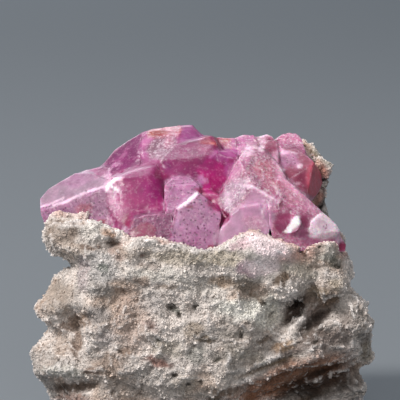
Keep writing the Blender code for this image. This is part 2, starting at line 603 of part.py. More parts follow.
def undercut_depth(point):
    """How far the undercuts move the front of the rock back, at a point in view."""
    total = 0.0
    for undercut in UNDERCUTS:
        along = (Vector(undercut.end) - Vector(undercut.start)).normalized()
        offset = point - Vector(undercut.start)
        below = along.y * offset.x - along.x * offset.y
        past_start = ramp(offset.dot(along), -UNDERCUT_LEAD, 0)
        total += min(undercut.depth, max(0.0, below) * undercut.share) * past_start
    return total


def sculpt_rock(rock):
    """Roughen the fused rock, carve its front, and wear its front rim down to the crystals."""
    mesh = bmesh.new()
    mesh.from_mesh(rock.data)
    mesh.normal_update()
    moved = []
    for vertex in mesh.verts:
        place = vertex.co.copy()
        normal = vertex.normal
        place += normal * roughness(place)
        place.x += waist_shift(place)
        place.y += undercut_depth(in_view(place)) * ramp(place.y, UNDERCUT_FROM, UNDERCUT_FULL)
        facing = ramp(-normal.y, STROKE_NONE, STROKE_FULL)
        if facing > 0 and place.y < STROKE_BACK:
            place.y -= stroke_height(in_view(place)) * facing
        if place.y < RIM_DEPTH:
            across, up = in_view(place)
            rim = rim_height(across)
            if up > rim:
                place = seen(across, rim + RIM_KEPT * (up - rim), place.y)
        moved.append(place)
    for vertex, place in zip(mesh.verts, moved):
        vertex.co = place
    mesh.to_mesh(rock.data)
    mesh.free()


def add_modifier(target, kind, **settings):
    """Add a modifier with its settings, and apply it."""
    modifier = target.modifiers.new(kind.lower(), kind)
    for setting, value in settings.items():
        setattr(modifier, setting, value)
    apply_modifiers(target)


def keep_largest(target):
    """Remove every separate piece of a mesh but the one with the most vertices."""
    mesh = bmesh.new()
    mesh.from_mesh(target.data)
    unseen = set(mesh.verts)
    islands = []
    while unseen:
        island = [unseen.pop()]
        for vertex in island:
            for edge in vertex.link_edges:
                other = edge.other_vert(vertex)
                if other in unseen:
                    unseen.remove(other)
                    island.append(other)
        islands.append(island)
    islands.sort(key=len)
    for island in islands[:-1]:
        bmesh.ops.delete(mesh, geom=island, context="VERTS")
    mesh.to_mesh(target.data)
    mesh.free()


def build_rock(name, collection, workshop):
    """The rock, cut back from the crystals seated in it."""
    mesh = bmesh.new()
    for mass in BLOCKS + LUMPS:
        mass_mesh(mesh, mass)
    rock = add_object(name, mesh, collection)
    add_modifier(rock, "REMESH", mode="VOXEL", voxel_size=ROCK_VOXEL)
    for around, rise, distance in FRACTURES:
        facing = direction(around, rise)
        cut_away(rock, FRACTURE_CENTRE + facing * distance, facing)
    add_modifier(rock, "REMESH", mode="VOXEL", voxel_size=ROCK_VOXEL)
    add_modifier(rock, "SMOOTH", factor=0.5, iterations=2)
    sculpt_rock(rock)
    add_modifier(rock, "REMESH", mode="VOXEL", voxel_size=ROCK_VOXEL)
    full = sum(len(face.vertices) - 2 for face in rock.data.polygons)
    add_modifier(rock, "DECIMATE", ratio=ROCK_TRIANGLES / full)
    rock.data.transform(Matrix.Scale(MM, 4))
    seat = build_crystals("seat", SEAT_CLEARANCE, workshop, workshop)
    seat.hide_render = True
    seat.display_type = "WIRE"
    add_modifier(rock, "BOOLEAN", operation="DIFFERENCE", solver="EXACT", object=seat)
    cut_away(rock, Vector((0, 0, 0)), Vector((0, 0, -1)))
    keep_largest(rock)
    bpy.data.objects.remove(seat)
    return rock


def cut_away(target, point, facing):
    """Cut a mesh off flat at a plane, on the side that the plane faces."""
    mesh = bmesh.new()
    mesh.from_mesh(target.data)
    cut = bmesh.ops.bisect_plane(
        mesh, geom=mesh.verts[:] + mesh.edges[:] + mesh.faces[:], dist=1e-7,
        plane_co=point, plane_no=facing, clear_outer=True)
    rim = [item for item in cut["geom_cut"] if isinstance(item, bmesh.types.BMEdge)]
    if rim:
        bmesh.ops.triangle_fill(mesh, use_beauty=True, edges=rim)
    bmesh.ops.recalc_face_normals(mesh, faces=mesh.faces)
    mesh.to_mesh(target.data)
    mesh.free()


def new_collection(name):
    """A new collection in the scene."""
    made = bpy.data.collections.new(name)
    bpy.context.scene.collection.children.link(made)
    return made


def material(name, colour, roughness):
    """A plain Principled material."""
    made = bpy.data.materials.new(name)
    made.use_nodes = True
    shader = made.node_tree.nodes["Principled BSDF"]
    shader.inputs["Base Color"].default_value = (*colour, 1)
    shader.inputs["Roughness"].default_value = roughness
    shader.inputs["Metallic"].default_value = 0
    return made


def centre_over_base(pieces):
    """Move the pieces sideways, together, until the middle of their shared box is over the origin."""
    places = [vertex.co for piece in pieces for vertex in piece.data.vertices]
    middle = [(min(place[i] for place in places) + max(place[i] for place in places)) / 2 for i in (0, 1)]
    for piece in pieces:
        piece.data.transform(Matrix.Translation((-middle[0], -middle[1], 0)))


def main():
    """Build the specimen."""
    for leftover in list(bpy.data.objects):
        bpy.data.objects.remove(leftover)
    specimen = new_collection("cobaltoan_calcite_specimen")
    workshop = new_collection("workshop")
    cluster = build_crystals("crystal_cluster", 0.0, specimen, workshop)
    cluster.data.materials.clear()
    cluster.data.materials.append(material("pink_calcite", (0.42, 0.13, 0.26), 0.35))
    rock = build_rock("matrix", specimen, workshop)
    rock.data.materials.clear()
    rock.data.materials.append(material("matrix_rock", (0.36, 0.33, 0.30), 0.9))
    centre_over_base((cluster, rock))


if __name__ == "__main__":
    main()
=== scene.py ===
"""Cobaltoan calcite on its matrix: finishes, loose grains, studio and camera."""

from __future__ import annotations

import itertools
import logging
import math
from dataclasses import dataclass, field
from enum import Enum
import bmesh
import bpy
import numpy as np
from mathutils import Matrix, Vector
from mathutils.bvhtree import BVHTree


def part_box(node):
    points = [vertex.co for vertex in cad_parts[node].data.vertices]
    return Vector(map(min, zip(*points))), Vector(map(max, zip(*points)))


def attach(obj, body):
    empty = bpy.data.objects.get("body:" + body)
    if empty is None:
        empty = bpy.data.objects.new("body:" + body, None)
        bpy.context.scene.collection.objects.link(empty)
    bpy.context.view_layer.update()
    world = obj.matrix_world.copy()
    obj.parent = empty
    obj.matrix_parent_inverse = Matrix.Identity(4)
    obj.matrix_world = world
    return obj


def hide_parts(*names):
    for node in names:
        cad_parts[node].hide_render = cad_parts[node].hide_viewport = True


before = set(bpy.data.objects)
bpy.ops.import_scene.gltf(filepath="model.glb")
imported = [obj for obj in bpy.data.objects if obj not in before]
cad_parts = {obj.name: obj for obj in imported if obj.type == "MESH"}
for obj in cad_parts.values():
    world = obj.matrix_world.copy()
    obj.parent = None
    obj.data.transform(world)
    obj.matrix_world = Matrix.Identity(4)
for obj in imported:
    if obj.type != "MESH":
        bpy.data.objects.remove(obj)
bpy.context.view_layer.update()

MM = 0.001
LOG = logging.getLogger("specimen")

# The cluster's left tip and nearest point, in millimetres of the drawing that the tables use.
CLUSTER_TIP = (-24.86, -13.8)

# Corners this close are one, and a cut this close to a corner goes through it. In metres.
SAME_CORNER = 1e-6
SAME_CUT = 1e-7

# The inputs of a Map Range node that a four-number range fills.
RANGE = ("From Min", "From Max", "To Min", "To Max")

# Odd numbers that scatter a cell's place and seed over the random numbers.
CELL_FACTORS = (73856093, 19349663, 83492791)
SEED_FACTOR = 2654435761
MIX_FACTORS = (2246822519, 3266489917)
WORD = 0xFFFFFFFF
HALF_WORD = 0xFFFF

Corners = tuple[tuple[float, float], ...]
Triple = tuple[float, float, float]
Range = tuple[float, float, float, float]
Tree = bpy.types.NodeTree
Socket = bpy.types.NodeSocket


def linear(code: str) -> np.ndarray:
    """Turns an sRGB hex colour to linear light.

    Args:
        code: The colour as "#rrggbb".

    Returns:
        Red, green, blue and an alpha of 1.
    """
    parts = np.array([int(code[i : i + 2], 16) / 255 for i in (1, 3, 5)])
    light = np.where(parts <= 0.04045, parts / 12.92, ((parts + 0.055) / 1.055) ** 2.4)
    return np.append(light, 1.0)


def smooth_step(low: float, high: float, value: np.ndarray) -> np.ndarray:
    """Rises softly from 0 at low to 1 at high.

    Args:
        low: Where the rise starts.
        high: Where it ends.
        value: The numbers to judge.

    Returns:
        One share from 0 to 1 for each number.
    """
    t = np.clip((value - low) / (high - low), 0, 1)
    return t * t * (3 - 2 * t)


def cell_random(cells: np.ndarray, seed: int) -> np.ndarray:
    """A fixed random number for each lattice cell.

    Args:
        cells: Whole-number cell places, one row each.
        seed: Chooses the numbers.

    Returns:
        One value from 0 to 1 for each cell.
    """
    x, y, z = (cells[:, k] * CELL_FACTORS[k] for k in range(3))
    mixed = (x ^ y ^ z ^ (seed * SEED_FACTOR)) & WORD
    mixed = ((mixed ^ (mixed >> 15)) * MIX_FACTORS[0]) & WORD
    mixed = ((mixed ^ (mixed >> 13)) * MIX_FACTORS[1]) & WORD
    return ((mixed ^ (mixed >> 16)) & HALF_WORD) / HALF_WORD


def lattice_noise(points: np.ndarray, size: float, seed: int) -> np.ndarray:
    """Smooth random values on a lattice of cells.

    Args:
        points: Places, one row each.
        size: Cell width in the points' own unit.
        seed: Chooses the pattern.

    Returns:
        One value from -1 to 1 for each point.
    """
    cells = points / size
    base = np.floor(cells).astype(np.int64)
    t = cells - base
    t = t * t * (3 - 2 * t)
    total = np.zeros(len(points))
    for corner in itertools.product((0, 1), repeat=3):
        weight = np.prod(np.where(corner, t, 1 - t), axis=1)
        total += weight * (2 * cell_random(base + np.array(corner), seed) - 1)
    return total


def mottle(points: np.ndarray, size: float, seed: int, depth: float) -> np.ndarray:
    """A slow change of strength from place to place: never above 1, least 1 - 2 * depth."""
    return (1 - depth) + depth * lattice_noise(points, size, seed)


def nodule_distance(points: np.ndarray, size: float, seed: int) -> np.ndarray:
    """Distance to the nearest of the scattered nodule centres, one in each cell.

    Args:
        points: Places, one row each.
        size: Cell width in the points' own unit.
        seed: Chooses the centres.

    Returns:
        The distance as a share of the cell width.
    """
    cells = points / size
    base = np.floor(cells).astype(np.int64)
    nearest = np.full(len(points), np.inf)
    for corner in itertools.product((-1, 0, 1), repeat=3):
        cell = base + np.array(corner)
        centre = np.stack([cell[:, k] + cell_random(cell, seed + k) for k in range(3)], axis=1)
        nearest = np.minimum(nearest, np.linalg.norm(cells - centre, axis=1))
    return nearest


def add_node(tree: Tree, kind: str, inputs: dict | None = None,
             **settings: object) -> bpy.types.Node:
    """Adds one node with its settings, values and links.

    Args:
        tree: The tree that gets the node.
        kind: The node's type, by its full name.
        inputs: For each input's name or number, an output socket to link or a value.
        settings: Values for the node's properties.

    Returns:
        The new node.
    """
    node = tree.nodes.new(kind)
    for name, value in settings.items():
        setattr(node, name, value)
    for key, value in (inputs or {}).items():
        if isinstance(value, Socket):
            tree.links.new(value, node.inputs[key])
        else:
            node.inputs[key].default_value = value
    return node


def new_material(name: str) -> tuple[bpy.types.Material, Tree]:
    """Makes an empty node material.

    Args:
        name: The material's name.

    Returns:
        The material and its cleared node tree.
    """
    made = bpy.data.materials.new(name)
    made.use_nodes = True
    made.node_tree.nodes.clear()
    return made, made.node_tree


@dataclass(frozen=True)
class Spots:
    """A surface's places, as the marks on the specimen's front read them.

    The drawn places are in the drawing's millimetres, and the seen ones are across and up on the
    plane at the front. Stray is how far an outline strays there sideways and up, and facing is 1
    where a place faces the eye, 0 edge on and below 0 behind.
    """

    drawn: np.ndarray
    seen: np.ndarray
    stray: np.ndarray
    facing: np.ndarray


@dataclass(frozen=True)
class Viewpoint:
    """Where the specimen is seen from, in the drawing's millimetres."""

    eye: Triple = (-0.8, -460.6, 89.8)
    target: Triple = (-0.8, -14.0, 35.0)
    plane: float = -14.0
    frame_width: float = 58.32
    sensor: float = 36.0
    clip_m: tuple[float, float] = (0.01, 20.0)
    # How outlines stray: a size in millimetres and a seed for across, and the same for up.
    stray_wide: tuple[tuple[float, int], ...] = ((1.4, 5), (1.4, 6))
    stray_fine: tuple[tuple[float, int], ...] = ((0.5, 7), (0.5, 8))
    stray_fine_share: float = 0.5

    def origin(self) -> np.ndarray:
        """The drawing's origin in the frame, in millimetres."""
        low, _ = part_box("crystal_cluster")
        return np.array([low.x / MM - CLUSTER_TIP[0], low.y / MM - CLUSTER_TIP[1], 0.0])

    def drawn(self, places: np.ndarray) -> np.ndarray:
        """Frame places in metres as the drawing's millimetres."""
        return places / MM - self.origin()

    def spots(self, shell: Shell) -> Spots:
        """Reads a mesh as it stands.

        Args:
            shell: The mesh.

        Returns:
            One spot for each vertex.
        """
        drawn, eye = self.drawn(shell.places()), np.array(self.eye)
        reach = (self.plane - eye[1]) / (drawn[:, 1] - eye[1])
        seen = (eye + (drawn - eye) * reach[:, None])[:, [0, 2]]
        wide, fine = (np.stack([lattice_noise(drawn, *pattern) for pattern in patterns], axis=1)
                      for patterns in (self.stray_wide, self.stray_fine))
        return Spots(drawn, seen, wide + self.stray_fine_share * fine,
                     self.facing(drawn, shell.normals()))

    def facing(self, drawn: np.ndarray, normals: np.ndarray) -> np.ndarray:
        """How squarely each place faces the eye.

        Args:
            drawn: Places in the drawing's millimetres.
            normals: The surface's directions there.

        Returns:
            1 where a place faces the eye, 0 edge on, below 0 behind.
        """
        towards = np.array(self.eye) - drawn
        towards /= np.linalg.norm(towards, axis=1)[:, None]
        return np.einsum("ij,ij->i", towards, normals)

    def build(self) -> None:
        """Makes the camera and gives it to the scene."""
        origin = Vector(self.origin())
        eye = (Vector(self.eye) + origin) * MM
        target = (Vector(self.target) + origin) * MM
        data = bpy.data.cameras.new("camera")
        data.sensor_width = self.sensor
        data.lens = self.sensor * (target - eye).length / (self.frame_width * MM)
        data.clip_start, data.clip_end = self.clip_m
        camera = bpy.data.objects.new("camera", data)
        camera.location = eye
        camera.rotation_euler = (target - eye).to_track_quat("-Z", "Y").to_euler()
        bpy.context.scene.collection.objects.link(camera)
        bpy.context.scene.camera = camera


VIEW = Viewpoint()


@dataclass(frozen=True)
class Softbox:
    """One studio light, in metres and watts."""

    name: str
    place: Triple
    aim: Triple
    width: float
    watts: float
    colour: str

    def build(self) -> None:
        """Hangs the light and turns it to its aim."""
        data = bpy.data.lights.new(self.name, "AREA")
        data.shape = "DISK"
        data.size = self.width
        data.energy = self.watts
        data.color = linear(self.colour)[:3]
        lamp = bpy.data.objects.new(self.name, data)
        lamp.location = self.place
        aim = Vector(self.aim) - Vector(self.place)
        lamp.rotation_euler = aim.to_track_quat("-Z", "Y").to_euler()
        lamp.visible_camera = False
        bpy.context.scene.collection.objects.link(lamp)


@dataclass(frozen=True)
class Studio:
    """A plain pale floor, soft light from the upper left and a little fill."""

    floor_radius: float = 3.5
    floor_steps: int = 96
    floor_colour: str = "#6c7277"
    floor_roughness: float = 0.9
    fill_colour: str = "#b4b9be"
    fill_strength: float = 0.40
    softboxes: tuple[Softbox, ...] = (
        Softbox("key_light", (-0.56, -0.44, 0.72), (0.0, 0.0, 0.03), 0.28, 10.8, "#fffaf6"),
        Softbox("front_light", (0.06, -0.98, 0.42), (0.0, 0.0, 0.02), 0.60, 3.0, "#fff8f2"),
        Softbox("top_light", (-0.10, 0.30, 0.95), (0.0, 0.0, 0.03), 0.40, 3.0, "#f4f7ff"),
        Softbox("floor_light", (-0.50, 1.70, 0.90), (0.10, 1.20, 0.0), 0.90, 10.6, "#eef3fa"),
    )

    def build(self) -> None:
        """Makes the floor, the lights and the room's own light."""
        self.build_floor()
        for softbox in self.softboxes:
            softbox.build()
        world = bpy.data.worlds.new("room")
        world.use_nodes = True
        background = world.node_tree.nodes["Background"]
        background.inputs["Color"].default_value = linear(self.fill_colour)
        background.inputs["Strength"].default_value = self.fill_strength
        bpy.context.scene.world = world
        bpy.context.scene.view_settings.view_transform = "Standard"

    def build_floor(self) -> None:
        """Makes the round floor, just under the specimen's flat base."""
        mesh = bpy.data.meshes.new("studio_floor")
        bm = bmesh.new()
        bmesh.ops.create_circle(bm, cap_ends=True, radius=self.floor_radius,
                                segments=self.floor_steps)
        bm.to_mesh(mesh)
        bm.free()
        floor = bpy.data.objects.new("studio_floor", mesh)
        bpy.context.scene.collection.objects.link(floor)
        material, tree = new_material("matt_paper_floor")
        shader = add_node(tree, "ShaderNodeBsdfPrincipled", {
            "Base Color": tuple(linear(self.floor_colour)), "Roughness": self.floor_roughness})
        add_node(tree, "ShaderNodeOutputMaterial", {"Surface": shader.outputs[0]})
        mesh.materials.append(material)


@dataclass(frozen=True)
class Look:
    """How a crystal skin takes light: shares from 0 to 1."""

    clear: float
    frost: float
    sugar: float

    def shares(self) -> np.ndarray:
        """The three shares in a row."""
        return np.array([self.clear, self.frost, self.sugar])


class Skin(Enum):
    """The skins that the calcite shows."""

    GLASSY = Look(0.90, 0.0, 0.0)
    WAXY = Look(0.45, 0.0, 0.03)
    SATIN = Look(0.40, 0.15, 0.08)
    FROSTED = Look(0.05, 1.0, 0.10)
    SUGARY = Look(0.15, 0.20, 1.0)
    WHITE = Look(0.0, 0.20, 0.80)


@dataclass(frozen=True)
class Zone:
    """A many-sided area of one colour, drawn on the plane at the specimen's front.

    It reaches from near to far in depth, and its outline wanders a little.
    """

    corners: Corners
    tint: str
    skin: Skin | None = None
    strength: float = 1.0
    edge: float = 0.35
    near: float = -30.0
    far: float = 30.0
    wander: float = 0.25
    fade: tuple[float, float] = (0.4, 1.2)

    def cover(self, spots: Spots) -> np.ndarray:
        """How much of the zone lies on each spot.

        Args:
            spots: The surface's places.

        Returns:
            A share from 0 to 1 for each spot.
        """
        depth = polygon_depth(spots.seen + self.wander * spots.stray, self.corners)
        share = smooth_step(-self.edge, self.edge, depth)
        first, last = self.fade
        inside = smooth_step(self.near - last, self.near - first, spots.drawn[:, 1])
        inside *= 1 - smooth_step(self.far + first, self.far + last, spots.drawn[:, 1])
        return share * inside * self.strength


@dataclass(frozen=True)
class Patch:
    """A soft oval of colour on the front."""

    across: float
    up: float
    wide: float
    high: float
    tint: str
    strength: float = 0.7
    turn: float = 0.0
    skin: Skin | None = None
    wander: float = 0.5
    far: float = 4.0
    rim: tuple[float, float] = (0.55, 1.25)
    fade: float = 4.0

    def cover(self, spots: Spots) -> np.ndarray:
        """How much of the patch lies on each spot.

        Args:
            spots: The surface's places.

        Returns:
            A share from 0 to 1 for each spot.
        """
        dx, dz = (spots.seen - (self.across, self.up) + self.wander * spots.stray).T
        along, across = turned(dx, dz, self.turn)
        share = 1 - smooth_step(*self.rim, np.hypot(along / self.wide, across / self.high))
        far = smooth_step(self.far, self.far + self.fade, spots.drawn[:, 1])
        return share * self.strength * (1 - far)


def turned(dx: np.ndarray, dz: np.ndarray, degrees: float) -> tuple[np.ndarray, np.ndarray]:
    """Reads steps across and up along a turned pair of axes.

    Args:
        dx: Steps across.
        dz: Steps up.
        degrees: How far the axes are turned, anticlockwise.

    Returns:
        The steps along the turned axes.
    """
    angle = math.radians(degrees)
    return (dx * math.cos(angle) + dz * math.sin(angle),
            -dx * math.sin(angle) + dz * math.cos(angle))


def polygon_depth(points: np.ndarray, corners: Corners) -> np.ndarray:
    """How far inside a polygon each point lies.

    Args:
        points: Places on the plane, one row each.
        corners: The polygon's corners in order.

    Returns:
        The distance to the nearest side, below 0 outside.
    """
    inside = np.zeros(len(points), bool)
    nearest = np.full(len(points), np.inf)
    px, py = points[:, 0], points[:, 1]
    for (x0, y0), (x1, y1) in zip(corners, corners[1:] + corners[:1]):
        dx, dy = x1 - x0, y1 - y0
        if dy:
            inside ^= ((y0 > py) != (y1 > py)) & (px < dx * (py - y0) / dy + x0)
        t = np.clip(((px - x0) * dx + (py - y0) * dy) / (dx * dx + dy * dy), 0, 1)
        nearest = np.minimum(nearest, np.hypot(px - x0 - t * dx, py - y0 - t * dy))
    return np.where(inside, nearest, -nearest)


@dataclass
class Shell:
    """A working copy of a mesh as arrays."""

    object: bpy.types.Object
    smoothing: float = 0.6
    normals_kept_for: int = 6

    def vectors(self, kind: str) -> np.ndarray:
        """Reads a vector from every vertex.

        Args:
            kind: "co" for its place or "normal" for its direction.

        Returns:
            One row for each vertex.
        """
        flat = np.zeros(len(self.object.data.vertices) * 3, np.float32)
        self.object.data.vertices.foreach_get(kind, flat)
        return flat.reshape(-1, 3).astype(float)

    def places(self) -> np.ndarray:
        """The vertices' places in metres."""
        return self.vectors("co")

    def normals(self) -> np.ndarray:
        """The vertices' directions."""
        return self.vectors("normal")

    def move_to(self, places: np.ndarray) -> None:
        """Puts every vertex at its new place."""
        self.object.data.vertices.foreach_set("co", places.astype(np.float32).ravel())
        self.object.data.update()

    def edges(self) -> np.ndarray:
        """Reads the mesh's edges.

        Returns:
            The two vertex numbers of every edge.
        """
        flat = np.zeros(len(self.object.data.edges) * 2, np.int32)
        self.object.data.edges.foreach_get("vertices", flat)
        return flat.reshape(-1, 2)

    def relief(self, rounds: int) -> np.ndarray:
        """How far each vertex stands proud of the smoothed surface.

        Args:
            rounds: How many times the surface is smoothed, which sets the scale.

        Returns:
            Millimetres, above 0 on ridges and below 0 in hollows.
        """
        places, edges = self.places(), self.edges()
        smooth = places
        for _ in range(rounds):
            smooth = self.smoothed(smooth, edges)
        return np.einsum("ij,ij->i", places - smooth, self.normals()) / MM

    def smoothed(self, places: np.ndarray, edges: np.ndarray) -> np.ndarray:
        """Moves each place most of the way to the mean of its neighbours.

        Args:
            places: A place for each vertex.
            edges: The mesh's edges.

        Returns:
            The new places.
        """
        count = np.bincount(edges.ravel(), minlength=len(places))[:, None]
        total = np.zeros_like(places)
        for k in range(3):
            total[:, k] = np.bincount(edges[:, 0], places[edges[:, 1], k], len(places))
            total[:, k] += np.bincount(edges[:, 1], places[edges[:, 0], k], len(places))
        mean = total / np.maximum(count, 1)
        return (1 - self.smoothing) * places + self.smoothing * mean

    def fill_hollows(self, rounds: int) -> None:
        """Fills sharp inward corners with a small fillet, and leaves outward ones as they are.

        Args:
            rounds: How many times it is done, which sets how wide the fillet is.
        """
        places, edges = self.places(), self.edges()
        for turn in range(rounds):
            if turn % self.normals_kept_for == 0:
                self.move_to(places)
                normals = self.normals()
            out = np.einsum("ij,ij->i", self.smoothed(places, edges) - places, normals)
            places = places + normals * np.maximum(out, 0)[:, None]
        self.move_to(places)

    def soften(self, rounds: int, share: np.ndarray) -> None:
        """Rounds the edges off, more in some places than in others.

        Args:
            rounds: How many times it is done, which sets how round they get.
            share: How much of it each place takes, from 0 to 1.
        """
        places, edges = self.places(), self.edges()
        for _ in range(rounds):
            places = places + share[:, None] * (self.smoothed(places, edges) - places)
        self.move_to(places)

    def write_colour(self, name: str, values: np.ndarray) -> None:
        """Keeps a colour on every vertex."""
        made = self.object.data.attributes.new(name, "FLOAT_COLOR", "POINT")
        made.data.foreach_set("color", values.astype(np.float32).ravel())

    def write_value(self, name: str, values: np.ndarray) -> None:
        """Keeps a number on every vertex."""
        made = self.object.data.attributes.new(name, "FLOAT", "POINT")
        made.data.foreach_set("value", values.astype(np.float32))


def copy_of_node(node: str, name: str) -> tuple[bpy.types.Object, bmesh.types.BMesh]:
    """Copies a CAD node's mesh with its doubled corners merged.

    Args:
        node: The CAD node.
        name: The new piece's name.

    Returns:
        The new object with an empty mesh, and the merged mesh to work on.
    """
    bm = bmesh.new()
    bm.from_mesh(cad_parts[node].data)
    bmesh.ops.remove_doubles(bm, verts=bm.verts, dist=SAME_CORNER)
    made = bpy.data.objects.new(name, bpy.data.meshes.new(name))
    bpy.context.scene.collection.objects.link(made)
    return made, bm


def finish_mesh(made: bpy.types.Object, bm: bmesh.types.BMesh) -> None:
    """Puts a worked mesh into its object as triangles and frees it.

    Args:
        made: The object that gets the mesh.
        bm: The worked mesh.
    """
    bmesh.ops.triangulate(bm, faces=bm.faces)
    bmesh.ops.recalc_face_normals(bm, faces=bm.faces)
    bm.to_mesh(made.data)
    bm.free()


def with_modifiers(made: bpy.types.Object) -> None:
    """Replaces an object's mesh by the mesh that its modifiers give, and removes them.

    Args:
        made: The object.
    """
    graph = bpy.context.evaluated_depsgraph_get()
    mesh = bpy.data.meshes.new_from_object(made.evaluated_get(graph))
    made.modifiers.clear()
    old = made.data
    made.data = mesh
    bpy.data.meshes.remove(old)


# The crystals' bodies, from the back to the front.
BODIES = (
    Zone(((1.0, 44.5), (4.6, 44.6), (4.8, 36), (1.0, 36)), "#c68e96", Skin.SUGARY, near=-0.4),
    Zone(((3.8, 45.0), (7.2, 45.0), (8.3, 41), (7.8, 36), (3.8, 36)), "#c587aa", Skin.SUGARY,
         near=-1.2),
    Zone(((7.0, 45.0), (10.2, 45.0), (10.2, 36), (7.4, 36)), "#c9a0ae", Skin.SUGARY, near=1.0),
    Zone(((9.8, 43.4), (11, 45.2), (13.4, 45.2), (14.6, 42), (14, 36), (10, 36)), "#c98aa3",
         Skin.SUGARY, near=1.6),
    Zone(((8.3, 42.8), (9.0, 44.0), (10.4, 44.0), (10.6, 42), (10.4, 36), (8.4, 36)), "#9a4a66",
         Skin.GLASSY, near=-2.4, far=9),
    Zone(((9.8, 41), (11.2, 42.6), (13.2, 42.8), (15.9, 40.6), (17.3, 38.8), (17.2, 37), (15, 34),
          (12, 31.5), (9.8, 33)), "#a96b78", Skin.GLASSY, near=-4.4, far=7.5),
    Zone(((-19.8, 38), (-17.6, 39.8), (-14.6, 40.2), (-12, 39), (-12, 33), (-19.8, 33)), "#a96f90",
         Skin.SATIN, near=-1.5, far=9),
    Zone(((-16, 38.2), (-15.2, 40.2), (-11.2, 44.2), (-8.2, 45.6), (-7.6, 34), (-15.8, 34)),
         "#7d3b69", Skin.SATIN, near=-4, far=12),
    Zone(((-9.2, 44.6), (-8, 45.8), (-2, 46.4), (-0.2, 44.1), (-1, 37), (-9.2, 37)), "#a9608e",
         Skin.SATIN, near=-3, far=12),
    Zone(((-0.4, 42.4), (4.2, 42.5), (4.9, 41.8), (4.9, 40.2), (3.4, 34), (0.5, 33)), "#b2609a",
         Skin.SATIN, near=-5, far=7),
    Zone(((-6.9, 40.4), (-5.5, 42.2), (-4.2, 43.3), (1.1, 44.9), (2.5, 42.8), (3.1, 38),
          (2.5, 31.8), (-6.6, 31.8)), "#94346f", Skin.GLASSY, near=-7.6, far=8),
    Zone(((-24.9, 35.2), (-23, 37.2), (-18.9, 39.3), (-16.5, 39.2), (-13, 37.6), (-12.8, 29),
          (-24.9, 29)), "#a28499", Skin.FROSTED, near=-9.4, far=6),
    Zone(((-14.7, 38.2), (-12.4, 39.3), (-9.2, 40.5), (-7, 40.6), (-6, 38.6), (-5.8, 29),
          (-13.6, 29)), "#9f3c78", Skin.GLASSY, near=-12, far=4),
    Zone(((-6.1, 37.3), (-5, 38.5), (-2.2, 38.6), (-0.7, 37.2), (-0.3, 29), (-5.4, 28)), "#ae84a0",
         Skin.FROSTED, near=-12, far=2),
    Zone(((-1.2, 36.8), (1.7, 36.5), (4.2, 32.6), (1.6, 26.8), (-0.5, 27.6)), "#b03a6c",
         Skin.GLASSY, near=-12.4, far=-2),
    Zone(((-12.4, 30.6), (-10.8, 32.4), (-8.5, 33.1), (-5, 33.1), (-4.4, 30), (-4.8, 26.5),
          (-11.4, 27)), "#82566f", Skin.FROSTED, near=-13.6, far=-4),
    Zone(((-4.3, 34), (-1.4, 36.3), (-0.8, 36.1), (1.4, 34.3), (2.4, 33.1), (2.3, 31.5),
          (1.3, 27), (-4.6, 26), (-5.4, 28.6)), "#bb9ab1", Skin.FROSTED, near=-13.8, far=-4),
    Zone(((1.8, 35.6), (4, 40), (5.1, 42), (6.3, 43.3), (7.9, 43.3), (9.4, 42), (11, 40.1),
          (11.6, 38.6), (10.4, 33), (8.8, 31), (4.6, 31.6), (3.4, 32.6), (2, 34)), "#aa7f8e",
         Skin.SUGARY, near=-12.8, far=4),
    Zone(((9.2, 35.2), (10.2, 38.8), (12.2, 38.3), (18.8, 32), (19.9, 30.2), (20.4, 27.5),
          (10.5, 26.5), (9.2, 31)), "#c98ea4", Skin.SUGARY, near=-13.8, far=2),
    Zone(((0.8, 29.1), (3.6, 32.8), (5.6, 34.2), (8.9, 34.8), (10.1, 33), (9.2, 29.5), (4, 26),
          (1.4, 27.2)), "#ceb2c4", Skin.WAXY, near=-13.9, far=-4),
    Zone(((11, 30.4), (15, 30.3), (19.6, 29.9), (20.9, 28.4), (20.8, 27), (11, 26.6)), "#b8829a",
         Skin.SATIN, near=-11.8, far=-1),
    Zone(((15, 30.4), (15.3, 31.9), (16.6, 33.2), (17.2, 33.2), (18.5, 32.2), (19.5, 31.2),
          (20, 30.3), (19.3, 29.5), (17.3, 29.2), (15.7, 29.5)), "#f6f0f4", Skin.SUGARY,
         near=-12.5, far=-3, strength=0.9),
)

